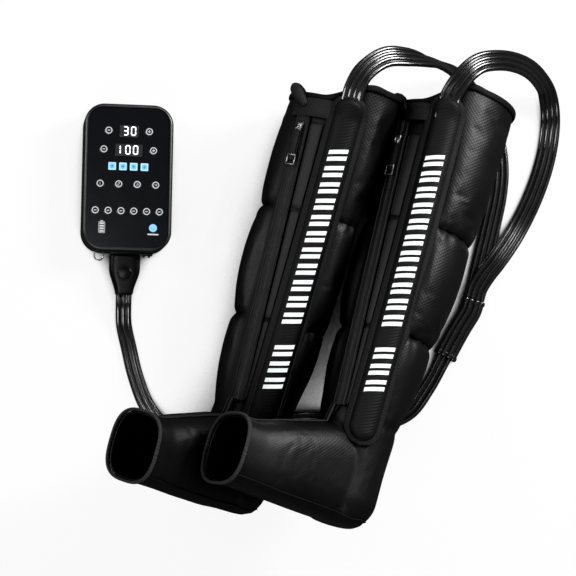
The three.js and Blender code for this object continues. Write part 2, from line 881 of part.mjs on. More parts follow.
function plugHousing() {
  const half = plugWidth / 2 - plugEdgeRounding;
  const neck = plugNeckWidth / 2 - plugEdgeRounding;
  const top = plugTop - plugEdgeRounding;
  const bottom = plugBottom + plugEdgeRounding;
  const shoulder = plugTop - plugShoulderLength;
  const waist = (shoulder + bottom) / 2;
  const outline = new THREE.Shape();
  outline.moveTo(-half + plugCornerRadius, top);
  outline.quadraticCurveTo(-half, top, -half, top - plugCornerRadius);
  outline.lineTo(-half, shoulder);
  outline.bezierCurveTo(-half, waist, -neck, waist, -neck, bottom);
  outline.lineTo(neck, bottom);
  outline.bezierCurveTo(neck, waist, half, waist, half, shoulder);
  outline.lineTo(half, top - plugCornerRadius);
  outline.quadraticCurveTo(half, top, half - plugCornerRadius, top);
  const body = new THREE.ExtrudeGeometry(outline, {
    depth: plugThickness - 2 * plugEdgeRounding,
    bevelThickness: plugEdgeRounding,
    bevelSize: plugEdgeRounding,
    bevelSegments: edgeSegments,
    curveSegments: arcSegments,
  }).translate(0, 0, plugBack + plugEdgeRounding);
  const spigotHalf = point(
    socketWidth / 2 - socketWall - seatGap,
    0,
    socketThickness / 2 - socketWall - seatGap,
  );
  const spigot = box(
    point(-spigotHalf.x, plugTop - plugEdgeRounding, socketLevel - spigotHalf.z),
    point(spigotHalf.x, plugTop + spigotLength, socketLevel + spigotHalf.z),
  );
  const bore = post(
    0,
    releaseButtonAlong,
    releaseButtonRadius + slidingGap,
    plugFront + releaseButtonProud - releaseButtonDepth - releaseButtonTravel - slidingGap,
    plugFront + overrun,
  );
  return cut(joined(body, spigot), bore);
}

function hoseReleaseButton() {
  const top = plugFront + releaseButtonProud;
  return post(0, releaseButtonAlong, releaseButtonRadius, top - releaseButtonDepth, top);
}

const plug = new THREE.Group();
plug.rotation.z = pumpYaw;
group.add(plug);
addMesh(plug, 'plug_housing', plugHousing(), finish.housing);
addMesh(plug, 'hose_release_button', hoseReleaseButton(), finish.housing);

// Boots. In a boot's frame X points to the toe, Y to its outer side and Z up the leg;
// an angle on the leg is counted from the toe towards the outer side.
const bootWall = coverThickness + seatGap + bladderThickness;

function smoothStep(from, to, value) {
  return THREE.MathUtils.smoothstep(value, Math.min(from, to), Math.max(from, to));
}

function legShare(height) {
  return Math.max(0, (height - ankleSeam) / (legTop - ankleSeam));
}

function legShift(height) {
  return THREE.MathUtils.lerp(ankleShift, thighShift, legShare(height));
}

function legRadius(height) {
  if (height < ankleSeam) {
    const rise = THREE.MathUtils.clamp(height / heelRounding, 0, 1);
    const narrowing = smoothStep(ankleSeam / 2, ankleSeam, height);
    const waist = THREE.MathUtils.lerp(heelRadius, ankleRadius, narrowing);
    return waist - heelRounding * (1 - Math.sin(Math.acos(1 - rise)));
  }
  return THREE.MathUtils.lerp(ankleRadius, thighRadius, legShare(height));
}

// How much fuller than a straight taper the calf and thigh are, away from the flat side
function calfBulge(height) {
  const left = 1 - legShare(height);
  return (thighRadius - ankleRadius) * (left - Math.pow(left, taperPower));
}

// How far the seams draw the air chambers in at a height
function seamDraw(height) {
  const seams = [0, ankleSeam, calfSeam, kneeSeam, legTop];
  const chamber = seams.findIndex((seam, i) => height >= seam && height <= seams[i + 1]);
  if (chamber < 1) {
    return 0;
  }
  const share = (height - seams[chamber]) / (seams[chamber + 1] - seams[chamber]);
  return seamPinch * (1 - Math.sqrt(Math.sin(Math.PI * share)));
}

// The pinch fades out on the flat side that carries the zipper and the hose cover
function pinchWeight(angle) {
  const turned = Math.atan2(Math.sin(angle), Math.cos(angle));
  const outside = Math.max(flatSideFrom - turned, turned - flatSideTo);
  return smoothStep(0, flatSideBlend, outside);
}

// The rim's height over a place: low between zipper and hose cover, and a dome over the leg's outer side.
// It slopes up from the leg's axis, and all of its layers share this surface
function rimHeight(x, y) {
  const [ahead, outward] = [x + legShift(legTop), y];
  const facing = Math.cos(Math.atan2(outward, ahead) - rimRiseAngle);
  const domed = smoothStep(rimLowShare, rimHighShare, facing);
  return legTop + rimRise * domed * Math.hypot(ahead, outward) / thighRadius;
}

// How far the neighbour leg lets this one reach: its axis is that far away, less its radius
function pressedReach(height) {
  const spacing = rightBootPlace.x - leftBootPlace.x + height * Math.sin(rightBootSwing - leftBootSwing);
  return spacing - legRadius(height) - calfBulge(height) - pressGap;
}

function legPoint(angle, height, inset, pressed = false) {
  const fullness = height > ankleSeam ? calfBulge(height) : 0;
  const drawn = (seamDraw(height) - fullness) * pinchWeight(angle);
  const radius = legRadius(height) - drawn - inset;
  const place = point(radius * Math.cos(angle), radius * Math.sin(angle), height);
  const pressSide = point(-Math.cos(leftBootRoll), Math.sin(leftBootRoll), 0);
  if (pressed && height > ankleSeam) {
    place.addScaledVector(pressSide, -Math.max(0, place.dot(pressSide) - pressedReach(height) + inset));
  }
  place.x -= legShift(height);
  return place;
}

const legAngles = Array.from({ length: legSides }, (_, j) => 2 * Math.PI * j / legSides);

// All that lies above the rim, or above a surface that far below it
function aboveRim(drop) {
  const ring = (levelOf) => legAngles.map((angle) => {
    const x = 2 * thighRadius * Math.cos(angle) - legShift(legTop);
    const y = 2 * thighRadius * Math.sin(angle);
    return point(x, y, levelOf(x, y));
  });
  const hub = point(-legShift(legTop), 0, legTop - drop);
  return toSolid(loft([ring(() => legTop + 3 * rimRise), ring((x, y) => rimHeight(x, y) - drop)], hub));
}

function chamberHeights(shares) {
  const seams = [ankleSeam, calfSeam, kneeSeam, legTop];
  return seams.slice(1).flatMap((seam, i) => (
    shares.map((share) => THREE.MathUtils.lerp(seams[i], seam, share))
  ));
}

const fineShares = [0, 0.14, 0.5, 0.86];
const plainShares = [0, 0.5];
const soleShares = [0, 0.3, 1];

// A leg, closed at both ends, that runs on past the rim; its wall stands in by an inset
function legBody(inset, pressed, shares = fineShares) {
  const soleHeights = soleShares.map((share) => share * heelRounding);
  const heights = [...soleHeights, ankleSeam / 2, ...chamberHeights(shares)];
  const rings = heights.map((height) => legAngles.map((angle) => legPoint(angle, height, inset, pressed)));
  rings[0].forEach((place) => place.setZ(inset));
  const rim = legAngles.map((angle) => legPoint(angle, legTop, inset, pressed));
  rings.push(rim, rim.map((place) => place.clone().setZ(legTop + 2 * rimRise)));
  return loft(rings);
}

// How far the toes of the boot that bends its foot up lie above a straight foot's
function toeRise(x, bent) {
  return bent ? toeLift * Math.max(0, (x - instepReach) / (bootSoleLength - instepReach)) : 0;
}

function footSection(x, halfWidth, height, inset, bent) {
  const half = height / 2;
  const middle = half + toeRise(x, bent);
  return Array.from({ length: footSides }, (_, j) => {
    const turn = 2 * Math.PI * (j + 0.5) / footSides;
    const [cosine, sine] = [Math.cos(turn), Math.sin(turn)];
    const across = Math.sign(cosine) * Math.pow(Math.abs(cosine), footSquareShare);
    const up = Math.sign(sine) * Math.pow(Math.abs(sine), footSquareShare);
    return point(x, (halfWidth - inset) * across, middle + (half - inset) * up);
  });
}

// A foot, closed at both ends, from inside the heel to a given reach
function footBody(inset, reach, bent) {
  const stations = [
    [-instepReach / 3, footHalfWidth, ankleSeam],
    [instepReach, footHalfWidth, instepHeight],
    [(instepReach + bootSoleLength) / 2, footHalfWidth, (instepHeight + toeHeight) / 2 - soleRounding / 2],
    [bootSoleLength - 2 * toeBindingDepth - bladderMargin, toeHalfWidth - bindingProud, toeHeight],
  ].map(([x, halfWidth, height]) => footSection(x, halfWidth, height, inset, bent));
  stations.push(footSection(reach, toeHalfWidth - bindingProud, toeHeight, inset, bent));
  return loft(stations);
}

// A wall of the boot between two depths, open at the thigh and at the toe
function bootShell(outerInset, innerInset, margin, pressed) {
  const outer = toSolid(legBody(outerInset, pressed))
    .add(toSolid(footBody(outerInset, bootSoleLength - toeBindingDepth - margin, pressed)));
  const shares = innerInset < bootWall ? fineShares : plainShares;
  const inner = toSolid(legBody(innerInset, pressed, shares))
    .add(toSolid(footBody(innerInset, bootSoleLength + overrun, pressed)));
  return toGeometry(outer.subtract(inner).subtract(aboveRim(topBindingHeight + margin)));
}

function topBinding(pressed) {
  const outer = toSolid(legBody(-bindingProud, pressed));
  const inner = toSolid(legBody(bindingThickness, pressed, plainShares));
  const layer = aboveRim(topBindingHeight - seatGap).subtract(aboveRim(0));
  return toGeometry(outer.subtract(inner).intersect(layer));
}

function toeBinding(bent) {
  const from = bootSoleLength - toeBindingDepth + seatGap;
  const ring = (x, inset) => footSection(x, toeHalfWidth, toeHeight, inset, bent);
  const outer = loft([ring(from, 0), ring(bootSoleLength, 0)]);
  const inner = loft([
    ring(from - overrun, bindingThickness),
    ring(bootSoleLength + overrun, bindingThickness),
  ]);
  return cut(outer, inner);
}

// The padded cover over the leg's own hoses: a band along the leg with round ends and a crown
function hoseCover(pressed) {
  const half = hoseCoverWidth / 2;
  const endShares = [0.03, 0.2, 0.5, 1];
  const heights = [
    ...endShares.map((share) => hoseCoverFrom + share * half),
    (hoseCoverFrom + hoseCoverTo) / 2,
    ...endShares.map((share) => hoseCoverTo - share * half).reverse(),
  ];
  const acrossShares = [-1, -0.9, -0.5, 0, 0.5, 0.9, 1];
  const rings = heights.map((height) => {
    const fromEnd = Math.min(height - hoseCoverFrom, hoseCoverTo - height, half) / half;
    const wide = half * Math.sin(Math.acos(1 - fromEnd));
    const radius = legRadius(Math.max(height, ankleSeam));
    const crown = (share) => hoseCoverThickness * (1 - Math.pow(Math.abs(share), hoseCoverCrownPower) / 2);
    const upShare = (height - hoseCoverFrom) / (hoseCoverTo - hoseCoverFrom);
    const middle = THREE.MathUtils.lerp(hoseCoverFootAngle, hoseCoverTopAngle, upShare);
    const spot = (share, lift) => {
      const angle = middle + share * wide / radius;
      return point(
        (radius + lift) * Math.cos(angle) - legShift(height),
        (radius + lift) * Math.sin(angle),
        height,
      );
    };
    return [
      ...acrossShares.map((share) => spot(share, crown(share))),
      ...[...acrossShares].reverse().map((share) => spot(share, -coverThickness / 2)),
    ];
  });
  return toGeometry(toSolid(loft(rings)).subtract(grownBoot(bindingProud + seatGap, pressed)));
}

// The boot's outside, grown by a gap: what lies on the cover is cut by it
function grownBoot(gap, pressed) {
  return toSolid(legBody(-gap, pressed)).add(toSolid(footBody(-gap, bootSoleLength, pressed)));
}

// The zipper's straight track on the leg
const zipperTo = legTop - zipperTopMargin;
const zipperTop = legPoint(zipperTopAngle, zipperTo, 0);
const zipperFoot = legPoint(zipperFootAngle, zipperFrom, 0);
const zipperAlong = zipperTop.clone().sub(zipperFoot).normalize();
const zipperMiddleAngle = (zipperTopAngle + zipperFootAngle) / 2;
const zipperOut = point(Math.cos(zipperMiddleAngle), Math.sin(zipperMiddleAngle), 0);
zipperOut.addScaledVector(zipperAlong, -zipperOut.dot(zipperAlong)).normalize();
const zipperAcross = new THREE.Vector3().crossVectors(zipperAlong, zipperOut);
const zipperLength = zipperTop.distanceTo(zipperFoot);

// A group whose X runs across the zipper, Y up along it and Z out of the leg, from its top end
function zipperFrame(boot) {
  const frame = new THREE.Group();
  const basis = new THREE.Matrix4().makeBasis(zipperAcross, zipperAlong, zipperOut);
  frame.quaternion.setFromRotationMatrix(basis);
  frame.position.copy(zipperTop);
  boot.add(frame);
  return frame;
}

const tapeTop = zipperTapeThickness - seatGap;

function zipperTape(frame) {
  const tape = box(
    point(-zipperTapeWidth / 2, -zipperLength, -coverThickness / 2),
    point(zipperTapeWidth / 2, 0, tapeTop),
  );
  frame.updateMatrix();
  const inBoot = toSolid(tape.applyMatrix4(frame.matrix)).subtract(grownBoot(seatGap, false));
  return toGeometry(inBoot).applyMatrix4(frame.matrix.clone().invert());
}

const sliderTop = -sliderTopMargin;
const sliderBottom = sliderTop - sliderLength;
const sliderFloor = tapeTop + seatGap;
const pullPinAlong = sliderBottom + sliderLength / 3;
const pullPinLevel = sliderFloor + sliderHeight + Math.SQRT2 * pullPinRadius + slidingGap;
const bailWidth = sliderWidth / 3;
const bailReach = 2 * pullPinRadius + seatGap;

function zipperSlider() {
  const sliderRoof = sliderFloor + sliderHeight;
  const body = roundedSlab(sliderWidth, sliderLength, sliderWidth / 3, sliderFloor, sliderRoof);
  body.translate(0, (sliderTop + sliderBottom) / 2, 0);
  const bail = box(
    point(-bailWidth / 2, pullPinAlong - bailReach, sliderFloor + sliderHeight / 2),
    point(bailWidth / 2, pullPinAlong + bailReach, pullPinLevel + bailReach),
  );
  const eyeRadius = pullPinRadius + seatGap;
  const eye = new THREE.CylinderGeometry(eyeRadius, eyeRadius, sliderWidth, smallSides);
  eye.rotateZ(Math.PI / 2).translate(0, pullPinAlong, pullPinLevel);
  return cut(joined(body, bail), eye);
}

// The pull: a pin through the slider's eye, two arms beside it and a strap with a metal-framed end
function zipperPull() {
  const half = pullWidth / 2;
  const pin = new THREE.CylinderGeometry(pullPinRadius, pullPinRadius, pullWidth, smallSides);
  pin.rotateZ(Math.PI / 2).translate(0, pullPinAlong, pullPinLevel);
  const armInner = bailWidth / 2 + slidingGap;
  const armEnd = pullPinAlong - Math.SQRT2 * bailReach - slidingGap;
  const armTop = point(0, pullPinAlong + pullPinRadius, pullPinLevel + pullPinRadius);
  const arms = [-1, 1].map((side) => box(
    point(Math.min(side * armInner, side * half), armEnd - pullThickness, pullPinLevel - pullPinRadius),
    point(Math.max(side * armInner, side * half), armTop.y, armTop.z),
  ));
  const strap = box(
    point(-half, pullPinAlong - pullLength, pullPinLevel - pullPinRadius),
    point(half, armEnd, pullPinLevel - pullPinRadius + pullThickness),
  );
  return joined(strap, pin, ...arms);
}

function closingStrap() {
  const bottom = legTop - strapTopMargin - strapWidth - topBindingHeight;
  const rings = Array.from({ length: bendSteps + 1 }, (_, i) => {
    const angle = THREE.MathUtils.lerp(strapFromAngle, strapToAngle, i / bendSteps);
    const edge = (height, lift) => legPoint(angle, height, -lift);
    const faceLift = strapLift + strapThickness;
    return [
      edge(bottom, strapLift),
      edge(bottom + strapWidth, strapLift),
      edge(bottom + strapWidth, faceLift),
      edge(bottom, faceLift),
    ];
  });
  return loft(rings);
}

function addBoot(side, place, climb, swing, roll, pressed) {
  const boot = new THREE.Group();
  const ahead = Math.cos(climb);
  const legAxis = point(Math.sin(swing) * ahead, Math.cos(swing) * ahead, Math.sin(climb));
  const level = new THREE.Vector3().crossVectors(point(0, 0, 1), legAxis).normalize();
  const up = new THREE.Vector3().crossVectors(legAxis, level);
  const toe = level.multiplyScalar(Math.cos(roll)).addScaledVector(up, Math.sin(roll));
  const outer = new THREE.Vector3().crossVectors(legAxis, toe);
  boot.quaternion.setFromRotationMatrix(new THREE.Matrix4().makeBasis(toe, outer, legAxis));
  boot.position.copy(place);
  group.add(boot);
  const zipper = zipperFrame(boot);
  addMesh(boot, `${side}_outer_cover`, bootShell(0, coverThickness, 0, pressed), finish.cover);
  const bladder = bootShell(coverThickness + seatGap, bootWall, bladderMargin, pressed);
  addMesh(boot, `${side}_air_bladder`, bladder, finish.bladder);
  addMesh(boot, `${side}_top_binding`, topBinding(pressed), finish.binding);
  addMesh(boot, `${side}_toe_binding`, toeBinding(pressed), finish.binding);
  addMesh(boot, `${side}_hose_cover`, hoseCover(pressed), finish.cover);
  addMesh(boot, `${side}_closing_strap`, closingStrap(), finish.webbing);
  addMesh(zipper, `${side}_zipper_tape`, zipperTape(zipper), finish.webbing);
  addMesh(zipper, `${side}_zipper_slider`, zipperSlider(), finish.steel);
  addMesh(zipper, `${side}_zipper_pull`, zipperPull(), finish.webbing);
}

addBoot('left', leftBootPlace, leftBootClimb, leftBootSwing, leftBootRoll, true);
addBoot('right', rightBootPlace, rightBootClimb, rightBootSwing, rightBootRoll, false);

// The outline of a flat row of tubes, its ends half round
function rowOutline(width, thickness) {
  const end = (middle, from) => Array.from({ length: rowEndSides }, (_, i) => {
    const turn = from + Math.PI * i / (rowEndSides - 1);
    return [middle + thickness / 2 * Math.cos(turn), thickness / 2 * Math.sin(turn)];
  });
  const reach = (width - thickness) / 2;
  return [...end(reach, -Math.PI / 2), ...end(-reach, Math.PI / 2)];
}

// Places a flat outline at a point of a route: across the route and level, then rolled about it
function rowRing(outline, place, along, roll) {
  const across = new THREE.Vector3().crossVectors(along, point(0, 0, 1)).normalize();
  const up = new THREE.Vector3().crossVectors(across, along);
  const turned = across.clone().applyAxisAngle(along, roll);
  const turnedUp = up.clone().applyAxisAngle(along, roll);
  return outline.map(([x, y]) => place.clone().addScaledVector(turned, x).addScaledVector(turnedUp, y));
}

function hoseRow(route, tubes) {
  const curve = new THREE.CatmullRomCurve3(route.map(([x, y, z]) => point(x, y, z)), false, 'centripetal');
  const outline = rowOutline(tubes * tubePitch, tubePitch);
  const rings = Array.from({ length: hoseSteps + 1 }, (_, i) => {
    const share = i / hoseSteps;
    const spot = share * (route.length - 1);
    const before = Math.min(Math.floor(spot), route.length - 2);
    const roll = THREE.MathUtils.lerp(route[before][3], route[before + 1][3], spot - before);
    return rowRing(outline, curve.getPoint(share), curve.getTangent(share), THREE.MathUtils.degToRad(roll));
  });
  return loft(rings);
}

// A moulded sleeve with raised ridges and a band at each end
function junctionCollar() {
  const curve = new THREE.CatmullRomCurve3(collarRoute.map(([x, y, z]) => point(x, y, z)));
  const pitch = 1 / collarRidges;
  const rise = collarRiseShare * pitch;
  const stations = Array.from({ length: collarRidges }, (_, i) => i * pitch).flatMap((from) => [
    [from, 1],
    [from + collarRidgeShare * pitch, 1],
    [from + collarRidgeShare * pitch + rise, 0],
    [from + pitch - rise, 0],
  ]);
  stations.push([1, 1]);
  const rings = stations.map(([share, raised]) => {
    const sunk = collarRidge * (1 - raised);
    const outline = rowOutline(collarWidth - 2 * sunk, collarThickness - sunk);
    return rowRing(outline, curve.getPoint(share), curve.getTangent(share), 0);
  });
  return loft(rings);
}

addMesh(group, 'trunk_hose', hoseRow(trunkRoute, trunkTubes), finish.hose);
addMesh(group, 'junction_collar', junctionCollar(), finish.hose);
addMesh(group, 'left_ribbon_hose', hoseRow(leftRibbonRoute, ribbonTubes), finish.hose);
addMesh(group, 'right_ribbon_hose', hoseRow(rightRibbonRoute, ribbonTubes), finish.hose);

export default group;
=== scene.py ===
"""Looks of an air compression kit: a hand-held pump, its hoses and two zipped leg boots.

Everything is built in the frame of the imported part: metres, +Z up, +Y along the boots' legs, with the
origin at the centre of the pump's flat back. Sizes inside the classes are in millimetres, and each
class turns them into the frame's metres when it makes a mesh.
"""

import logging
from dataclasses import dataclass, field
from enum import Enum
from functools import cache
from math import acos, atan2, copysign, cos, exp, hypot, pi, radians, sin, sqrt
from typing import Callable, Iterable, Sequence

import bmesh
import bpy
from mathutils import Matrix, Vector, noise
from mathutils.bvhtree import BVHTree


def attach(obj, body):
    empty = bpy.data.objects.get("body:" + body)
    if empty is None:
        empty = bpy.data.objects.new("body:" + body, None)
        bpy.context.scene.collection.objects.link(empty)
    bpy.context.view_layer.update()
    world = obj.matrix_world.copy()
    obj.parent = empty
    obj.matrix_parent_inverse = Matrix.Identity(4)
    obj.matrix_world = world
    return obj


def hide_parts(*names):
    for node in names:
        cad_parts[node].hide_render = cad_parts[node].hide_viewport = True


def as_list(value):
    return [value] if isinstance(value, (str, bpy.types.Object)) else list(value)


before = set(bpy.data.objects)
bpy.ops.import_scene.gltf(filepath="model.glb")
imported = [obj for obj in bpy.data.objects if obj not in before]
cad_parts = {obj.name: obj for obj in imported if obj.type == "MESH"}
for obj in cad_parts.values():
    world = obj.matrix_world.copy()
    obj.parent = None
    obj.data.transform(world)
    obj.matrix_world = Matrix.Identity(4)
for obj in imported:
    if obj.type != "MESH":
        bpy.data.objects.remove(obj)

LOG = logging.getLogger("kit")
MM = 0.001
BOOTS = "boots_and_hoses"
BOOT_PITCH = 5.2
CLOTH_UV = "cloth"
MILLIMETRES = Matrix.Scale(MM, 4)
PUMP_PLACE = MILLIMETRES @ Matrix.Rotation(radians(14.4), 4, "Z")
UP = Vector((0, 0, 1))
SHARP_EDGE = radians(40)
SHARP_SHADING = radians(42)

Place = Callable[[float, float], Vector]
Line = Sequence[Vector]
Route = Sequence[tuple[float, float, float, float]]
Path = list[tuple[Vector, Vector, float]]
BMesh = bmesh.types.BMesh
Piece = bpy.types.Object
Material = bpy.types.Material
Tree = bpy.types.NodeTree
Socket = bpy.types.NodeSocket


# Small maths


def lerp(start: float, end: float, share: float) -> float:
    """Returns the value that lies a share of the way from start to end."""
    return start + (end - start) * share


def smooth_step(start: float, end: float, value: float) -> float:
    """Returns 0 before start, 1 after end, and an even S-curve between them."""
    share = min(max((value - start) / (end - start), 0), 1)
    return share * share * (3 - 2 * share)


def outward(angle: float) -> Vector:
    """Returns the level unit direction at an angle from +X."""
    return Vector((cos(angle), sin(angle), 0))


def squared(turn: float, power: float) -> tuple[float, float]:
    """Returns a turn's cosine and sine, drawn towards a square by a power below 1."""
    wide, tall = cos(turn), sin(turn)
    return copysign(abs(wide) ** power, wide), copysign(abs(tall) ** power, tall)


def evened(line: Line) -> list[Vector]:
    """Returns a line whose inner places are the mean of each three neighbours."""
    return [line[0], *((a + b + c) / 3 for a, b, c in zip(line, line[1:], line[2:])), line[-1]]


def linear(code: str) -> tuple[float, float, float, float]:
    """Turns an sRGB hex colour into the linear values that a shader takes.

    Args:
        code: the colour as "#rrggbb".

    Returns:
        Red, green, blue and a full alpha.
    """
    channels = []
    for start in (1, 3, 5):
        value = int(code[start : start + 2], 16) / 255
        channels.append(value / 12.92 if value <= 0.04045 else ((value + 0.055) / 1.055) ** 2.4)
    return (*channels, 1.0)


def catmull_rom(points: Line, steps: int) -> Path:
    """Follows a centripetal Catmull-Rom curve, the one that the hoses' solids follow.

    Args:
        points: the places that the curve goes through.
        steps: how many equal steps of the curve's own count are taken.

    Returns:
        For each step its place, its unit direction, and where it is among the points.
    """

    def place_at(spot: float) -> Vector:
        """Returns the curve's place at a spot counted in points."""
        before = min(int(spot), len(points) - 2)
        share = spot - before
        middle = [points[before], points[before + 1]]
        first = points[before - 1] if before > 0 else 2 * points[0] - points[1]
        last = points[before + 2] if before + 2 < len(points) else 2 * points[-1] - points[-2]
        pairs = ((first, middle[0]), middle, (middle[1], last))
        spans = [max((b - a).length, 1e-4) ** 0.5 for a, b in pairs]
        leave = (middle[0] - first) / spans[0] - (middle[1] - first) / (spans[0] + spans[1])
        leave = (leave + (middle[1] - middle[0]) / spans[1]) * spans[1]
        arrive = (middle[1] - middle[0]) / spans[1] - (last - middle[0]) / (spans[1] + spans[2])
        arrive = (arrive + (last - middle[1]) / spans[2]) * spans[1]
        square, cube = share * share, share**3
        return (
            middle[0] * (2 * cube - 3 * square + 1)
            + leave * (cube - 2 * square + share)
            + middle[1] * (3 * square - 2 * cube)
            + arrive * (cube - square)
        )

    reach = len(points) - 1
    nudge = 1e-3
    found = []
    for step in range(steps + 1):
        spot = reach * step / steps
        ahead = place_at(min(spot + nudge, reach))
        behind = place_at(max(spot - nudge, 0))
        found.append((place_at(spot), (ahead - behind).normalized(), spot))
    return found


# Meshes


def shaped_grid(
    columns: int,
    rows: int,
    place: Place,
    cloth: tuple[float, float] = (1, 1),
    ring: bool = False,
    capped: bool = False,
) -> BMesh:
    """Bends a flat grid into a sheet, or into a tube whose first and last columns meet.

    Args:
        columns: faces across.
        rows: faces along.
        place: gives the place in millimetres for a share across and a share along.
        cloth: real width and length in millimetres, which the UV map holds in metres.
        ring: whether the first and last columns are joined.
        capped: whether a ring's two ends are closed.

    Returns:
        The new mesh.
    """
    bm = bmesh.new()
    layer = bm.loops.layers.uv.new(CLOTH_UV)
    bmesh.ops.create_grid(bm, x_segments=columns, y_segments=rows, size=1)
    low = [min(vert.co[axis] for vert in bm.verts) for axis in (0, 1)]
    high = [max(vert.co[axis] for vert in bm.verts) for axis in (0, 1)]
    shares = {
        vert: tuple((vert.co[axis] - low[axis]) / (high[axis] - low[axis]) for axis in (0, 1))
        for vert in bm.verts
    }
    for face in bm.faces:
        for loop in face.loops:
            across, along = shares[loop.vert]
            loop[layer].uv = (across * cloth[0] * MM, along * cloth[1] * MM)
    for vert, (across, along) in shares.items():
        vert.co = place(across, along)
    if ring:
        bmesh.ops.remove_doubles(bm, verts=bm.verts, dist=1e-3)
    if capped:
        bmesh.ops.holes_fill(bm, edges=[edge for edge in bm.edges if edge.is_boundary], sides=0)
    bmesh.ops.recalc_face_normals(bm, faces=bm.faces)
    return bm


def rounded_outline(
    width: float, height: float, radius: float, arc: int = 10, across: float = 0, along: float = 0
) -> list[Vector]:
    """Returns the corners of a rounded rectangle about a place, counted round once."""
    outline = []
    for quarter, (side, end) in enumerate(((1, 1), (-1, 1), (-1, -1), (1, -1))):
        middle = Vector((across + side * (width / 2 - radius), along + end * (height / 2 - radius), 0))
        turns = [pi / 2 * (quarter + step / arc) for step in range(arc + 1)]
        outline += [middle + radius * outward(turn) for turn in turns]
    return outline


def circle_outline(across: float, along: float, radius: float, sides: int = 32) -> list[Vector]:
    """Returns the corners of a circle about a place."""
    middle = Vector((across, along, 0))
    return [middle + radius * outward(2 * pi * step / sides) for step in range(sides)]


def plate(outline: Line, holes: Iterable[Line], low: float, high: float) -> BMesh:
    """Fills an outline around its holes and gives it a thickness.

    Args:
        outline: the plate's corners.
        holes: the corners of each hole.
        low: level of its back.
        high: level of its face.

    Returns:
        The closed plate.
    """
    bm = bmesh.new()
    edges = []
    for loop in (outline, *holes):
        verts = [bm.verts.new((corner.x, corner.y, low)) for corner in loop]
        edges += [bm.edges.new((verts[i - 1], verts[i])) for i in range(len(verts))]
    bmesh.ops.triangle_fill(bm, use_beauty=True, use_dissolve=False, edges=edges)
    made = bmesh.ops.extrude_face_region(bm, geom=bm.faces[:])["geom"]
    lifted = [item for item in made if isinstance(item, bmesh.types.BMVert)]
    bmesh.ops.translate(bm, verts=lifted, vec=(0, 0, high - low))
    bmesh.ops.recalc_face_normals(bm, faces=bm.faces)
    return bm


def block(low: Sequence[float], high: Sequence[float]) -> BMesh:
    """Returns a box between two corners."""
    bm = bmesh.new()
    bmesh.ops.create_cube(bm, size=1)
    size = Vector(high) - Vector(low)
    bmesh.ops.scale(bm, vec=size, verts=bm.verts)
    bmesh.ops.translate(bm, vec=(Vector(high) + Vector(low)) / 2, verts=bm.verts)
    return bm


def slab(across: float, along: float, width: float, height: float, low: float, high: float) -> BMesh:
    """Returns a box about a place, between two levels."""
    half = Vector((width / 2, height / 2))
    middle = Vector((across, along))
    return block((*(middle - half), low), (*(middle + half), high))


def disc(across: float, along: float, radius: float, low: float, high: float, sides: int = 40) -> BMesh:
    """Returns an upright cylinder between two levels."""
    bm = bmesh.new()
    bmesh.ops.create_cone(
        bm, cap_ends=True, segments=sides, radius1=radius, radius2=radius, depth=high - low
    )
    bmesh.ops.translate(bm, vec=(across, along, (low + high) / 2), verts=bm.verts)
    return bm


def round_edges(bm: BMesh, radius: float, segments: int = 3) -> BMesh:
    """Rounds each edge whose faces meet sharply, and returns the same mesh."""
    sharp = [edge for edge in bm.edges if edge.is_manifold and edge.calc_face_angle(0) > SHARP_EDGE]
    bmesh.ops.bevel(
        bm, geom=sharp, offset=radius, segments=segments, profile=0.5, affect="EDGES", material=-1,
        clamp_overlap=True,
    )
    return bm


def round_rim(bm: BMesh, level: float, radius: float, segments: int) -> None:
    """Rounds the square edge that runs round a slab at a level."""
    rim = [edge for edge in bm.edges if all(abs(vert.co.z - level) < MM for vert in edge.verts)]
    rim = [edge for edge in rim if edge.calc_face_angle(0) > 1]
    bmesh.ops.bevel(
        bm, geom=rim, offset=radius, segments=segments, profile=0.5, affect="EDGES", material=-1
    )


def merged(*parts: BMesh) -> BMesh:
    """Puts several meshes in one and frees the others."""
    whole = bmesh.new()
    whole.loops.layers.uv.new(CLOTH_UV)
    for part in parts:
        scratch = bpy.data.meshes.new("scratch")
        part.to_mesh(scratch)
        part.free()
        whole.from_mesh(scratch)
        bpy.data.meshes.remove(scratch)
    return whole


def tube(path: Line, radius: float, sides: int = 8, up: Vector = UP) -> BMesh:
    """Sweeps a closed round tube along a list of places.

    Args:
        path: places in millimetres.
        radius: the tube's radius.
        sides: faces round it.
        up: a direction that the path never follows.

    Returns:
        The tube.
    """
    reach = len(path) - 1

    def place(across: float, along: float) -> Vector:
        """Returns a place on the tube's skin."""
        spot = round(along * reach)
        ahead = path[min(spot + 1, reach)] - path[max(spot - 1, 0)]
        side = ahead.cross(up).normalized()
        turned = outward(2 * pi * across)
        return path[spot] + radius * (turned.x * side + turned.y * side.cross(ahead).normalized())

    length = sum((b - a).length for a, b in zip(path, path[1:]))
    return shaped_grid(sides, reach, place, (2 * pi * radius, length), ring=True, capped=True)


def add_object(name: str, data: bpy.types.ID) -> Piece:
    """Adds an object with its data to the scene."""
    made = bpy.data.objects.new(name, data)
    bpy.context.scene.collection.objects.link(made)
    return made


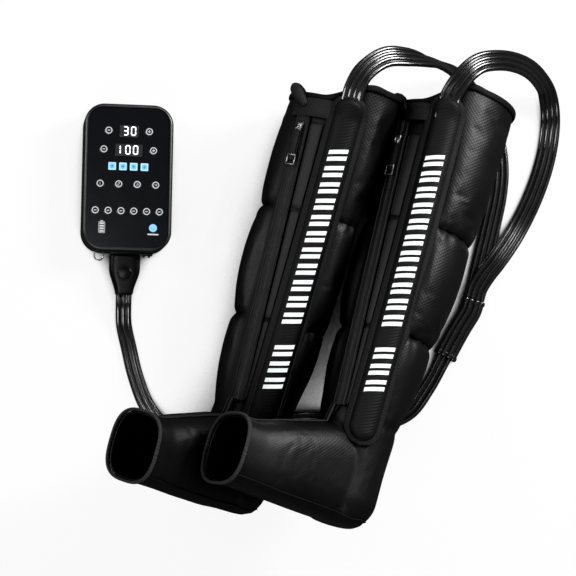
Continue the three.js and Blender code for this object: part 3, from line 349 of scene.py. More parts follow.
def new_piece(
    name: str,
    bm: BMesh,
    place: Matrix,
    finish: "Finish",
    body: str,
    slot: str,
    replaces: Sequence[str] = (),
    smooth: bool = True,
) -> Piece:
    """Turns a mesh in millimetres into a piece of the object.

    Args:
        name: the piece's name.
        bm: its mesh, which is freed.
        place: takes the mesh's own millimetres to the frame's metres.
        finish: what it is made of.
        body: the moving body that it rides on.
        slot: a material slot's name, which is not used.
        replaces: the solids that it stands for.
        smooth: whether its faces are shaded smooth, apart from sharp edges.

    Returns:
        The object, which stands at the origin.
    """
    bmesh.ops.transform(bm, matrix=place, verts=bm.verts)
    mesh = bpy.data.meshes.new(name)
    bm.to_mesh(mesh)
    bm.free()
    made = add_object(name, mesh)
    mesh.materials.append(finish.material())
    if smooth:
        mesh.shade_smooth()
        mesh.set_sharp_from_angle(angle=SHARP_SHADING)
    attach(made, body)
    if replaces:
        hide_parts(*replaces)
    LOG.info("%s: %d faces", name, len(mesh.polygons))
    return made


# Finishes


def add_node(
    tree: Tree,
    kind: str,
    settings: dict[str, object] | None = None,
    values: dict[str | int, object] | None = None,
    links: dict[str | int, Socket] | None = None,
) -> bpy.types.Node:
    """Adds one node with its settings, its input values and the links into it.

    Args:
        tree: the material's nodes.
        kind: the node's type.
        settings: properties of the node itself.
        values: inputs that are set to a value.
        links: inputs that are fed by another node's output.

    Returns:
        The node.
    """
    node = tree.nodes.new(kind)
    for key, value in (settings or {}).items():
        setattr(node, key, value)
    for key, value in (values or {}).items():
        node.inputs[key].default_value = value
    for key, socket in (links or {}).items():
        tree.links.new(socket, node.inputs[key])
    return node


def maths(tree: Tree, operation: str, first: object, second: object = 0.0) -> Socket:
    """Adds a maths node on two sockets or numbers and returns its output."""
    node = add_node(tree, "ShaderNodeMath", {"operation": operation})
    for index, value in enumerate((first, second)):
        if isinstance(value, Socket):
            tree.links.new(value, node.inputs[index])
        else:
            node.inputs[index].default_value = value
    return node.outputs[0]


def noise_of(tree: Tree, place: Socket, scale: float, detail: float) -> Socket:
    """Returns the output of a noise with a scale and a detail."""
    values = {"Scale": scale, "Detail": detail}
    return add_node(tree, "ShaderNodeTexNoise", values=values, links={"Vector": place}).outputs["Fac"]


def wear_gloss(tree: Tree, shader: bpy.types.Node, source: Socket, low: float, high: float) -> None:
    """Lets a noise move a shader's roughness between two values."""
    values = {"To Min": low, "To Max": high}
    gloss = add_node(tree, "ShaderNodeMapRange", values=values, links={"Value": source})
    tree.links.new(gloss.outputs["Result"], shader.inputs["Roughness"])


def emboss(tree: Tree, shader: bpy.types.Node, height: Socket, strength: float, depth: float) -> None:
    """Turns a height into a fine bump of a depth in millimetres."""
    values = {"Strength": strength, "Distance": depth * MM}
    bump = add_node(tree, "ShaderNodeBump", values=values, links={"Height": height})
    tree.links.new(bump.outputs["Normal"], shader.inputs["Normal"])


class Weave(Enum):
    """How a cloth's threads or its emboss run."""

    DIAMOND = "diamond"
    TWILL = "twill"
    HERRINGBONE = "herringbone"
    PLAIN = "plain"


@dataclass(frozen=True)
class Moulding:
    """A moulded or polished hard surface. Its grain and the grain's depth are in millimetres."""

    name: str
    colour: str
    roughness: float
    grain: float = 0.6
    grain_depth: float = 0.02
    metallic: float = 0
    glow: float = 0
    ior: float = 1.5

    @cache
    def material(self) -> Material:
        """Builds the material once: even colour, slightly uneven gloss and a fine bump."""
        made, tree, shader = empty_material(self.name)
        shader.inputs["Base Color"].default_value = linear(self.colour)
        shader.inputs["Metallic"].default_value = self.metallic
        shader.inputs["IOR"].default_value = self.ior
        if self.glow:
            shader.inputs["Emission Color"].default_value = linear(self.colour)
            shader.inputs["Emission Strength"].default_value = self.glow
        place = add_node(tree, "ShaderNodeTexCoord").outputs["Object"]
        handling = noise_of(tree, place, 40.0, 4.0)
        wear_gloss(tree, shader, handling, self.roughness * 0.8, self.roughness * 1.25)
        emboss(tree, shader, noise_of(tree, place, 1 / (self.grain * MM), 3.0), 0.5, self.grain_depth)
        return made


@dataclass(frozen=True)
class Cloth:
    """A woven or embossed cloth whose pattern follows the piece's own UV map, in real millimetres."""

    name: str
    colour: str
    thread_colour: str
    weave: Weave
    pitch: float
    depth: float
    roughness: float
    sheen: float = 0
    specular: float = 0.5

    @cache
    def material(self) -> Material:
        """Builds the material once: the weave lifts the thread colour out of the ground colour, and ambient
        occlusion paints shade into the colour and the gloss.
        """
        made, tree, shader = empty_material(self.name)
        uv = add_node(tree, "ShaderNodeUVMap", {"uv_map": CLOTH_UV}).outputs["UV"]
        split = add_node(tree, "ShaderNodeSeparateXYZ", links={0: uv})
        across, along = split.outputs[0], split.outputs[1]
        height = self.pattern(tree, across, along)
        place = add_node(tree, "ShaderNodeTexCoord").outputs["Object"]
        wear = noise_of(tree, place, 18.0, 5.0)
        fuzz = noise_of(tree, place, 900.0, 2.0)
        worn = maths(tree, "ADD", wear, maths(tree, "MULTIPLY", fuzz, 0.4))
        blend = maths(tree, "MULTIPLY", height, worn)
        colours = {6: linear(self.colour), 7: linear(self.thread_colour)}
        colour = add_node(tree, "ShaderNodeMix", {"data_type": "RGBA"}, colours, {0: blend})
        # Painted shade: ambient occlusion darkens the colour and dims the gloss in deep folds and in the
        # gap between the boots
        hidden = add_node(tree, "ShaderNodeAmbientOcclusion", {"samples": 6}, {"Distance": 0.2})
        open_share = add_node(
            tree,
            "ShaderNodeMapRange",
            values={"From Min": 0.5, "From Max": 0.92, "To Min": 0.03},
            links={"Value": hidden.outputs["AO"]},
        ).outputs[0]
        sources = {0: open_share, 7: colour.outputs[2]}
        colour_with_painted_shade = add_node(tree, "ShaderNodeMix", {"data_type": "RGBA"}, {6: (0, 0, 0, 1)}, sources)
        tree.links.new(colour_with_painted_shade.outputs[2], shader.inputs["Base Color"])
        specular = maths(tree, "MULTIPLY", open_share, self.specular)
        tree.links.new(specular, shader.inputs["Specular IOR Level"])
        wear_gloss(tree, shader, wear, self.roughness * 0.85, min(self.roughness * 1.2, 1))
        shader.inputs["Sheen Weight"].default_value = self.sheen
        shader.inputs["Sheen Roughness"].default_value = 0.45
        relief = maths(tree, "ADD", height, maths(tree, "MULTIPLY", fuzz, 0.25))
        emboss(tree, shader, relief, 0.8, self.depth)
        return made

    def pattern(self, tree: Tree, across: Socket, along: Socket) -> Socket:
        """Builds the height of the weave, from 0 to 1.

        Args:
            tree: the material's nodes.
            across: distance across the cloth in metres.
            along: distance along the cloth in metres.

        Returns:
            The socket that holds the height.
        """
        turns = 2 * pi / (self.pitch * MM)

        def ridge(distance: Socket) -> Socket:
            """Returns one ridge for each pitch of a distance, from 0 to 1."""
            wave = maths(tree, "SINE", maths(tree, "MULTIPLY", distance, turns))
            return maths(tree, "MULTIPLY", maths(tree, "ADD", wave, 1.0), 0.5)

        if self.weave is Weave.TWILL:
            return ridge(maths(tree, "ADD", across, along))
        if self.weave is Weave.HERRINGBONE:
            folded = maths(tree, "PINGPONG", across, 5 * self.pitch * MM)
            return ridge(maths(tree, "ADD", folded, along))
        if self.weave is Weave.DIAMOND:
            rising, falling = (ridge(maths(tree, way, across, along)) for way in ("ADD", "SUBTRACT"))
            return maths(tree, "MAXIMUM", rising, falling)
        return maths(tree, "MULTIPLY", ridge(across), ridge(along))


def empty_material(name: str) -> tuple[Material, Tree, bpy.types.Node]:
    """Returns a new material, its node tree and its main shader."""
    made = bpy.data.materials.new(name)
    made.use_nodes = True
    return made, made.node_tree, made.node_tree.nodes["Principled BSDF"]


Finish = Moulding | Cloth


class Finishes:
    # Injection-moulded ABS with a fine spark texture: broad soft highlights
    housing = Moulding("housing_abs", "#08080a", 0.4, 0.8, 0.04)
    # Satin painted ABS frame: a mid-grey band of light along its rounding
    bezel = Moulding("bezel_satin_abs", "#121214", 0.36, 0.5, 0.008, ior=1.65)
    # Polished acrylic sheet: clear mirror image of the studio
    panel = Moulding("panel_acrylic", "#0a0b0f", 0.14, 2.5, 0.002)
    # Silk-screened ink under the acrylic, with a faint painted glow
    ink = Moulding("pale_ink", "#c4c8cc", 0.5, grain_depth=0.002, glow=0.12)
    digits = Moulding("lit_segments", "#f3f5f7", 0.4, glow=0.9)
    window = Moulding("display_tint", "#26282b", 0.25, grain_depth=0.002)
    lamp = Moulding("blue_lens", "#6db4d8", 0.3, glow=0.45, grain_depth=0.01)
    lamp_rim = Moulding("pale_lens", "#a8d4e8", 0.35, glow=0.5, grain_depth=0.01)
    lamp_mark = Moulding("deep_blue_ink", "#2f7fae", 0.5, grain_depth=0.002)
    # Soft thermoplastic rubber: dull and slightly uneven
    rubber = Moulding("soft_rubber", "#0a0a0b", 0.5, 1.2, 0.05)
    # Nickel-plated steel wire, die-cast slider, and turned parts
    nickel = Moulding("nickel_plate", "#c7c8ca", 0.2, 1.5, 0.01, metallic=1)
    dark_nickel = Moulding("dark_nickel", "#8b8c90", 0.3, 1.5, 0.01, metallic=1)
    steel = Moulding("turned_steel", "#9fa2a6", 0.35, 0.9, metallic=1)
    brass = Moulding("turned_brass", "#b9924a", 0.3, 0.9, metallic=1)
    board = Moulding("board_lacquer", "#1d5a34", 0.4, 1)
    cell_wrap = Moulding("cell_wrap", "#3465a8", 0.3, 2)
    nylon = Moulding("natural_nylon", "#c9c9c2", 0.5, 1)
    # Plasticised PVC tube: wet-looking, with sharp lines of light
    vinyl = Moulding("vinyl_tube", "#08080a", 0.2, 3, 0.01, ior=2.1)
    plug = Moulding("plug_abs", "#030304", 0.22, 1, 0.005, ior=1.33)
    dark_plastic = Moulding("coil_nylon", "#0b0b0c", 0.4, 1)
    thread = Moulding("polyester_thread", "#161618", 0.6, 0.8, 0.05)
    # Heat-pressed white film of the bars on the strips, with a painted glow that keeps it white where
    # little light falls
    film = Moulding("white_film", "#eceeef", 0.45, 1.5, glow=0.3)
    # Coated nylon of the boots, embossed with small diamonds
    boot = Cloth(
        "coated_nylon", "#030303", "#0d0d0e", Weave.DIAMOND, BOOT_PITCH, 0.17, 0.44, specular=0.3
    )
    lining = Cloth("welded_lining", "#070708", "#101011", Weave.PLAIN, 4, 0.1, 0.8, specular=0.2)
    # Smooth and slightly greyer cloth of the placket
    placket = Cloth("smooth_placket", "#141416", "#262629", Weave.TWILL, 4.2, 0.2, 0.5, specular=0.3)
    # The padded channel's coarse herringbone, and the plain band that it is sewn on
    strip = Cloth(
        "strip_twill", "#080809", "#161617", Weave.HERRINGBONE, 4.4, 0.25, 0.55, specular=0.16
    )
    border = Cloth(
        "woven_border", "#030304", "#161618", Weave.PLAIN, 3.4, 0.4, 0.7, sheen=0.02, specular=0.3
    )
    # Narrow woven tapes and webbing
    binding = Cloth("edge_binding", "#0c0c0d", "#4a4a4e", Weave.PLAIN, 2.6, 0.6, 0.7, sheen=0.06)
    rim = Cloth("rim_tape", "#020203", "#09090a", Weave.PLAIN, 2.6, 0.2, 0.7, specular=0.2)
    webbing = Cloth(
        "herringbone_webbing", "#040405", "#28282b", Weave.HERRINGBONE, 3.6, 0.5, 0.65, specular=0.3
    )
    tape = Cloth("zipper_tape", "#060607", "#121214", Weave.PLAIN, 2, 0.2, 0.65, sheen=0.03)


# The pump


@dataclass
class Pump:
    """The hand-held pump: case, key panel, keys, signs, socket, port cover and wire loop."""

    ink_foot: float = 0.1
    ink_proud: float = 0.06
    width: float = 122
    height: float = 202
    depth: float = 50
    corner: float = 28
    seam: float = 29
    seam_gap: float = 0.3
    front_rounding: float = 4.4
    back_rounding: float = 4
    wall: float = 3
    screw_across: float = 47
    screw_along: float = 87
    panel_width: float = 112
    panel_height: float = 192
    panel_corner: float = 20
    panel_face: float = 47.9
    panel_back: float = 45.5
    key_radius: float = 5.2
    key_gap: float = 0.4
    key_top: float = 48.3
    key_foot: float = 44.2
    port_across: float = 30
    socket_level: float = 18
    overrun: float = 2
    window_height: float = 16
    window_face: float = 47.4
    lamp_size: float = 10.4
    lamp_pitch: float = 14.7
    lamp_row: float = 15
    lens_foot: float = 38.6
    carrier_foot: float = 36
    carrier_top: float = 45.1
    windows: tuple[tuple[float, float], ...] = ((64, 25), (38, 36))
    keys: dict[str, tuple[float, float]] = field(default_factory=dict)

    def __post_init__(self) -> None:
        """Lays the keys out in their rows."""
        self.lamp_places = [(count - 1.5) * self.lamp_pitch for count in range(4)]
        time_row, pressure_row = (row for row, _ in self.windows)
        for side, word in ((-1, "down"), (1, "up")):
            self.keys[f"key_time_{word}"] = (side * 27.7, time_row)
            self.keys[f"key_pressure_{word}"] = (side * 33.9, pressure_row)
        for kind, count, pitch, row in (("mode", 4, 25.3, -9.3), ("zone", 6, 17.5, -46)):
            for place in range(count):
                across = (place - (count - 1) / 2) * pitch
                self.keys[f"key_{kind}_{place + 1}"] = (across, row)
        self.keys["key_power"] = (35.6, -68.4)

    def piece(
        self, name: str, bm: BMesh, finish: Finish, slot: str, body: str = "pump", **more: object
    ) -> Piece:
        """Adds a piece that lies in the pump's own frame."""
        return new_piece(name, bm, PUMP_PLACE, finish, body, slot, **more)

    def build(self) -> None:
        """Builds the whole pump."""
        self.case()
        self.panel()
        for name, (across, along) in self.keys.items():
            self.key(name, across, along)
        self.display()
        self.lamps()
        self.printed_signs()
        self.socket()
        self.port_cover()
        self.loop()
        self.inner_parts()

    def ring_wall(self, low: float, high: float, round_low: float, round_high: float) -> BMesh:
        """Builds the case's outer skin between two levels, with one end's edge rounded.

        Args:
            low: the lower level.
            high: the upper level.
            round_low: rounding of the lower edge, or 0.
            round_high: rounding of the upper edge, or 0.

        Returns:
            A closed slab.
        """
        bm = plate(rounded_outline(self.width, self.height, self.corner, 16), (), low, high)
        for level, radius in ((low, round_low), (high, round_high)):
            if radius:
                round_rim(bm, level, radius, 6)
        return bm

    def case(self) -> None:
        """Builds the rear housing and the front frame, which meet at a fine seam."""
        rear = self.ring_wall(0, self.seam, self.back_rounding, 0)
        top = [face for face in rear.faces if face.normal.z > 0.9]
        bmesh.ops.inset_region(rear, faces=top, thickness=self.wall, depth=0)
        inner = list({vert for face in top for vert in face.verts})
        bmesh.ops.translate(rear, verts=inner, vec=(0, 0, self.wall - self.seam))
        made = self.piece(
            "case_back", rear, Finishes.housing, "housing_plastic", replaces=["rear_housing"]
        )
        sink_radius, sink_depth = 3.6, 2.7
        sinks = [
            disc(side * self.screw_across, end * self.screw_along, sink_radius, -self.overrun, sink_depth)
            for side in (-1, 1)
            for end in (-1, 1)
        ]
        middle = Vector((self.port_across, (self.wall - self.height) / 2, self.socket_level))
        jack_half = Vector((6.3, self.wall / 2 + 1, 4.3))
        jack_hole = block(middle - jack_half, middle + jack_half)
        cut_away(made, merged(*sinks, jack_hole), PUMP_PLACE)
        made.data.set_sharp_from_angle(angle=SHARP_SHADING)
        front = self.ring_wall(self.seam + self.seam_gap, self.depth, 0, self.front_rounding)
        play = 0.3
        outline = rounded_outline(
            self.panel_width + 2 * play, self.panel_height + 2 * play, self.panel_corner + play, 16
        )
        opening = plate(outline, (), self.seam - self.overrun, self.depth + self.overrun)
        frame_piece = self.piece(
            "case_frame", front, Finishes.bezel, "bezel_plastic", replaces=["front_bezel"]
        )
        cut_away(frame_piece, opening, PUMP_PLACE)
        soften(frame_piece, 0.5)

    def panel(self) -> None:
        """Builds the acrylic sheet with a hole for each key, window and lamp."""
        outline = rounded_outline(self.panel_width, self.panel_height, self.panel_corner, 16)
        holes = [circle_outline(*spot, self.key_radius + self.key_gap) for spot in self.keys.values()]
        corner, arc = 0.8, 3
        for row, width in self.windows:
            holes.append(rounded_outline(width, self.window_height, corner, arc, 0, row))
        size = self.lamp_size
        for across in self.lamp_places:
            holes.append(rounded_outline(size, size, corner, arc, across, self.lamp_row))
        sheet = plate(outline, holes, self.panel_back, self.panel_face)
        round_rim(sheet, self.panel_face, 0.2, 2)
        self.piece(
            "key_sheet", sheet, Finishes.panel, "panel_gloss", replaces=["keypad_panel"], smooth=False
        )

    def key(self, name: str, across: float, along: float) -> None:
        """Builds a round key: a flanged cap with a soft edge, a pale ring and its sign.

        Args:
            name: the key's name, which is its body's too.
            across: the key's place across the panel.
            along: its place along the panel.
        """
        power = name == "key_power"
        flange_radius, flange_thickness = 6.4, 1
        ring_outer, ring_inner = 4.75, 4.1 if power else 3.5
        bm = disc(across, along, self.key_radius, self.key_foot, self.key_top)
        round_edges(bm, 0.35, 3)
        flange = disc(across, along, flange_radius, self.key_foot, self.key_foot + flange_thickness)
        cap_finish = Finishes.lamp if power else Finishes.panel
        self.piece(f"{name}_cap", merged(bm, flange), cap_finish, "key_plastic", name, replaces=[name])
        signs = [self.annulus(across, along, ring_inner, ring_outer)]
        signs += self.key_sign(name, across, along)
        ring_finish = Finishes.lamp_rim if power else Finishes.ink
        self.piece(f"{name}_sign", merged(*signs), ring_finish, "key_plastic", name, smooth=False)

    def annulus(self, across: float, along: float, inner: float, outer: float) -> BMesh:
        """Returns a thin printed ring on a key's cap."""
        return plate(
            circle_outline(across, along, outer, 40),
            [circle_outline(across, along, inner, 40)],
            self.key_top - self.ink_foot,
            self.key_top + self.ink_proud,
        )

    def bar(self, across: float, along: float, width: float, height: float, lift: float = 0) -> BMesh:
        """Returns a thin printed bar about a place on the keys' level."""
        level = self.key_top + lift
        return slab(across, along, width, height, level - self.ink_foot, level + self.ink_proud)

    def key_sign(self, name: str, across: float, along: float) -> list[BMesh]:
        """Returns the bars of a key's sign: minus, plus, a number, or a power stroke."""
        if name.startswith("key_mode"):
            return self.number(int(name[-1]), across, along, 2.3, 3.8, 0.62, self.key_top)
        reach, stroke = 3.6, 1.1
        bars = [self.bar(across, along, reach, stroke)]
        if name.endswith("_up"):
            bars.append(self.bar(across, along, stroke, reach, 0.01))
        if name == "key_power":
            bars = [self.bar(across, along + 0.9, 0.9, 2.6)]
        return bars

    def number(
        self,
        digit: int,
        across: float,
        along: float,
        width: float,
        height: float,
        stroke: float,
        level: float,
    ) -> list[BMesh]:
        """Builds a digit of seven segments.

        Args:
            digit: from 0 to 9.
            across: middle of the digit across the panel.
            along: middle along the panel.
            width: the digit's width.
            height: its height.
            stroke: width of a segment.
            level: the surface that it is printed on.

        Returns:
            One small slab for each lit segment.
        """
        lit = {0: "abcdef", 1: "bc", 2: "abged", 3: "abgcd", 4: "fgbc", 5: "afgcd"}[digit]
        x, y = width / 2 if digit != 1 else 0, height / 2
        ends = {
            "a": ((-x, y), (x, y)), "b": ((x, y), (x, 0)), "c": ((x, 0), (x, -y)), "d": ((-x, -y), (x, -y)),
            "e": ((-x, 0), (-x, -y)), "f": ((-x, y), (-x, 0)), "g": ((-x, 0), (x, 0)),
        }
        slabs = []
        for name in lit:
            start, end = (Vector((across + spot[0], along + spot[1], 0)) for spot in ends[name])
            ahead = (end - start).normalized()
            side = Vector((-ahead.y, ahead.x, 0)) * stroke / 2
            tip = ahead * stroke / 2
            outline = [
                start + tip + side, start + tip * 0.2, start + tip - side,
                end - tip - side, end - tip * 0.2, end - tip + side,
            ]
            slabs.append(plate(outline, (), level - self.ink_foot, level + self.ink_proud + 0.02))
        return slabs

    def display(self) -> None:
        """Builds the tinted windows and the lit numbers behind them."""
        play = 0.1
        windows = [
            slab(0, row, width - play, self.window_height - play, self.lens_foot, self.window_face)
            for row, width in self.windows
        ]
        carrier = slab(0, 51, 36, 42, self.carrier_foot, self.carrier_top)
        self.piece(
            "display_faces", merged(carrier, *windows), Finishes.window, "board_plastic",
            replaces=["display_module"],
        )
        digits = []
        pitch, width, height, stroke = 10.5, 5.6, 11.2, 1.7
        shown = (((3, 0), -4.4), ((1, 0, 0), -11.6))
        for (row, _), (numbers, first) in zip(self.windows, shown):
            for count, digit in enumerate(numbers):
                spot = first + count * pitch
                digits += self.number(digit, spot, row, width, height, stroke, self.window_face)
        self.piece("display_numbers", merged(*digits), Finishes.digits, "lamp_plastic", smooth=False)

    def lamps(self) -> None:
        """Builds four lit square lenses with a pale edge and a small cross."""
        lenses, rims, marks = [], [], []
        row, size, face = self.lamp_row, self.lamp_size, self.window_face
        film, rim_proud, reach, stroke, carrier_width = 0.05, 0.08, 4.6, 1, 54.5
        for across in self.lamp_places:
            lenses.append(slab(across, row, size, size, self.lens_foot, face))
            outer, inner = (rounded_outline(side, side, 0.7, 3, across, row) for side in (10.3, 7.6))
            rims.append(plate(outer, [inner], face - film, face + rim_proud))
            for width, height, lift in ((reach, stroke, 0), (stroke, reach, 0.01)):
                marks.append(slab(across, row, width, height, face - film, face + film + lift))
        carrier = slab(0, row, carrier_width, size, self.carrier_foot, self.carrier_top)
        self.piece(
            "lamp_lenses", merged(carrier, *lenses), Finishes.lamp, "lamp_plastic",
            replaces=["mode_lamp_block"],
        )
        self.piece("lamp_edges", merged(*rims), Finishes.lamp_rim, "lamp_plastic", smooth=False)
        self.piece("lamp_crosses", merged(*marks), Finishes.lamp_mark, "lamp_plastic", smooth=False)

    def printed_signs(self) -> None:
        """Prints the battery gauge and the bar under the power key on the panel's face."""
        level = self.panel_face - self.key_top
        column, film, arc = -34.4, 0.05, 4
        low, high = self.panel_face - film, self.panel_face + film
        cap_row, top_row, row_pitch, gauge_row, underline_row = -60.6, -64, 3.5, -69.3, -77.2
        gauge_width, gauge_height, line = 8.8, 15.6, 1.2
        signs = [self.bar(column, cap_row, 3.4, line, level)]
        signs += [self.bar(column, top_row - count * row_pitch, 6, 2.3, level) for count in range(4)]
        outer = rounded_outline(gauge_width, gauge_height, 1.4, arc, column, gauge_row)
        inner = rounded_outline(gauge_width - line, gauge_height - line, 1, arc, column, gauge_row)
        signs.append(plate(outer, [inner], low, high))
        underline = rounded_outline(15.4, 1.9, 0.9, arc, self.keys["key_power"][0], underline_row)
        signs.append(plate(underline, (), low, high))
        self.piece("panel_print", merged(*signs), Finishes.ink, "panel_gloss", smooth=False)

    def socket(self) -> None:
        """Dresses the outlet socket's collar, which stands out of the case's lower wall."""
        face = -self.height / 2
        level, half, thick, proud, inside = self.socket_level, 20, 8, 2, 14
        mouth_half, mouth_thick, mouth_depth = 16.8, 4.8, 6.3
        bm = block((-half, face - proud, level - thick), (half, face + inside, level + thick))
        round_edges(bm, 1.4, 3)
        made = self.piece(
            "socket_collar", bm, Finishes.housing, "socket_plastic", replaces=["outlet_socket"]
        )
        mouth = block(
            (-mouth_half, face - 4 * self.overrun, level - mouth_thick),
            (mouth_half, face + mouth_depth, level + mouth_thick),
        )
        cut_away(made, mouth, PUMP_PLACE)

    def port_cover(self) -> None:
        """Builds the charging port's rubber cover with its two nubs and knuckle."""
        face = -self.height / 2 - self.seam_gap
        half_width, half_height, thick, knuckle, nub_inset = 6.5, 5.5, 2.6, 1.6, 2.1
        left, right = self.port_across - half_width, self.port_across + half_width
        low, high = self.socket_level - half_height, self.socket_level + half_height
        flap = block((left, face - thick, low), (right, face, high))
        round_edges(flap, 0.8, 3)
        nubs = [
            round_edges(
                block((edge, face - 5.4, low + nub_inset), (edge + 3.2, face - 2, high - nub_inset)), 1, 3
            )
            for edge in (24.4, 31.6)
        ]
        hinge = disc(right, face - knuckle, knuckle, low, high, 20)
        self.piece(
            "port_flap", merged(flap, *nubs, hinge), Finishes.rubber, "soft_rubber", "port_cover",
            replaces=["port_cover"],
        )

    def loop(self) -> None:
        """Bends the lanyard's wire loop."""
        bend, root, radius, wire_radius, steps = -106, -97, 6, 1.1, 20
        middle = Vector((-35.8, bend, self.socket_level))
        path = [middle - radius * outward(pi * step / steps) for step in range(steps + 1)]
        for end, side in ((0, -1), (len(path) + 1, 1)):
            path.insert(end, Vector((middle.x + side * radius, root, self.socket_level)))
        wire = tube(path, wire_radius, 12)
        self.piece("wrist_loop", wire, Finishes.nickel, "chrome", replaces=["lanyard_loop"])

    def inner_parts(self) -> None:
        """Gives the parts inside the case their own finishes."""
        inside = {
            "control_board": Finishes.board,
            "battery_pack": Finishes.cell_wrap,
            "compressor_motor": Finishes.steel,
            "motor_eccentric": Finishes.brass,
            "compressor_head": Finishes.nylon,
            "valve_manifold": Finishes.nylon,
            "charging_jack": Finishes.housing,
            **{f"case_screw_{count}": Finishes.steel for count in range(1, 5)},
        }
        for name, finish in inside.items():
            dress(name, finish)


def dress(node: str, finish: Finish) -> None:
    """Gives a solid that shows as it is its finish in every material slot."""
    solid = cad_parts[node]
    if not solid.material_slots:
        solid.data.materials.append(finish.material())
    for material_slot in solid.material_slots:
        material_slot.material = finish.material()


def cut_away(target: Piece, tool: BMesh, place: Matrix) -> None:
    """Cuts a piece's mesh by another mesh and frees that mesh.

    Args:
        target: the piece, already in metres.
        tool: the cutting mesh in millimetres.
        place: takes the tool to the frame.
    """
    bmesh.ops.transform(tool, matrix=place, verts=tool.verts)
    bmesh.ops.recalc_face_normals(tool, faces=tool.faces)
    mesh = bpy.data.meshes.new("cutter")
    tool.to_mesh(mesh)
    tool.free()
    cutter = add_object("cutter", mesh)
    modifier = target.modifiers.new("cut", "BOOLEAN")
    modifier.operation = "DIFFERENCE"
    modifier.solver = "EXACT"
    modifier.object = cutter
    apply_modifiers(target)
    bpy.data.objects.remove(cutter)
    bpy.data.meshes.remove(mesh)


def apply_modifiers(target: Piece) -> None:
    """Bakes a piece's modifiers into its mesh."""
    graph = bpy.context.evaluated_depsgraph_get()
    shaped = bpy.data.meshes.new_from_object(target.evaluated_get(graph))
    old = target.data
    target.modifiers.clear()
    target.data = shaped
    shaped.name = target.name
    bpy.data.meshes.remove(old)


def soften(target: Piece, width: float) -> None:
    """Rounds a piece's sharp edges by a width in millimetres with a Bevel modifier."""
    bevel = target.modifiers.new("edge", "BEVEL")
    bevel.width = width * MM
    bevel.segments = 2
    bevel.limit_method = "ANGLE"
    bevel.angle_limit = radians(50)


# The hose plug


@dataclass
class HosePlug:
    """The plug that carries the hoses to the pump, with its round release button."""

    top: float = -103.3
    length: float = 56
    half_width: float = 21
    neck: float = 12
    shoulder: float = 19
    low: float = 7
    high: float = 29
    button_radius: float = 9
    button_along: float = -129.06
    button_proud: float = 1.2
    well_gap: float = 2.3
    well_depth: float = 3.4
    flatness: float = 0.34
    edge: float = 3

    def build(self) -> None:
        """Builds the plug's body and its button."""
        body = new_piece(
            "plug_shell", self.shell(), PUMP_PLACE, Finishes.plug, BOOTS, "plug_plastic",
            replaces=["plug_housing"],
        )
        well_radius = self.button_radius + self.well_gap
        well = disc(0, self.button_along, well_radius, self.high - self.well_depth, self.high + 4, 48)
        cut_away(body, well, PUMP_PLACE)
        body.data.set_sharp_from_angle(angle=SHARP_SHADING)
        crown = self.high + self.button_proud
        button = disc(0, self.button_along, self.button_radius, self.high - 4.8, crown, 48)
        round_edges(button, 0.9, 4)
        new_piece(
            "release_cap", button, PUMP_PLACE, Finishes.plug, "hose_release_button", "plug_plastic",
            replaces=["hose_release_button"],
        )

    def half_at(self, share: float) -> float:
        """Returns half the plug's width at a share of its length from the top."""
        down = share * self.length
        if down <= self.shoulder:
            return self.half_width
        return lerp(self.half_width, self.neck, smooth_step(self.shoulder, self.length, down))

    def shell(self) -> BMesh:
        """Lofts the body: a rounded slab that narrows to the neck, domed a little across."""

        def place(across: float, along: float) -> Vector:
            """Returns a place on the shell for a share round it and a share down it."""
            edge = min(along, 1 - along) * self.length
            draw = self.edge - sqrt(max(self.edge**2 - (self.edge - min(edge, self.edge)) ** 2, 0))
            half = self.half_at(along) - draw
            thick = (self.high - self.low) / 2 - draw
            wide, tall = squared(2 * pi * across, self.flatness)
            middle = (self.high + self.low) / 2
            return Vector((half * wide, self.top - along * self.length, middle + thick * tall))

        return shaped_grid(72, 56, place, (110, self.length), ring=True, capped=True)


# The hoses


TUBE_PITCH = 7.2

# Each route's points: X, Y and Z in millimetres, and the roll of the flat row in degrees
TRUNK_ROUTE = (
    (38.3, -149.4, 18, 0), (39.8, -155.2, 18, 0), (42.9, -167.5, 17.6, 0), (51, -192, 8, 0),
    (67, -222, 4.2, 0), (86, -256, 4, 0),
    (113, -292, 4, 0), (147, -314, 4, 0), (188, -314, 4, 0), (226, -297, 4, 0), (268, -274, 4, 0),
    (323, -253, 4, 0), (390, -236, 4, 0), (440, -224, 4, 0), (470, -201, 4.5, 0), (486, -161, 7, 0),
    (497.2, -114.2, 8.9, 0),
)
COLLAR_ROUTE = (
    (497.5, -113.2, 9, 0), (501.2, -97, 9, 0), (509, -66, 9.2, 0), (516.6, -40, 9.2, 0),
    (517.2, -23.5, 9.2, 0),
)
LEFT_ROUTE = (
    (252.6, 151.1, 171.7, -6), (251.9, 172.6, 174.3, -6), (252.2, 184, 174.9, -5),
    (258, 207, 175, -2), (281, 236, 168, 0), (314, 250, 152, -20),
    (350, 260, 122, -55), (378, 267, 82, -50), (402, 271, 42, -25), (424, 268, 14, -5), (446, 254, 4.4, 0),
    (469, 232, 4.2, 0), (490, 204, 4.2, 0), (504, 172, 4.2, 0), (512, 134, 4.2, 0), (515, 82, 4.2, 0),
    (516.4, 25, 4.8, 0), (517.2, -6, 5.2, 0), (517.2, -22.6, 5.2, 0),
)
RIGHT_ROUTE = (
    (381.3, 179.5, 162.2, -18), (381.6, 201.3, 162.8, -16), (382, 213, 162.9, -12),
    (391, 242, 166, 0), (408, 267, 162, 3), (440, 285, 144, 0),
    (480, 296, 108, 0), (514, 296, 66, 0), (541, 286, 27, 0), (558, 260, 8, 0), (566, 221, 4.2, 0),
    (567, 179, 4, 0), (563, 138, 4, 0), (555, 98, 4.6, 0), (545, 66, 9, 0), (534, 38, 12.7, 0),
    (523, 12, 12.9, 0), (517.6, -7, 12.9, 0), (517.2, -22.6, 12.9, 0),
)


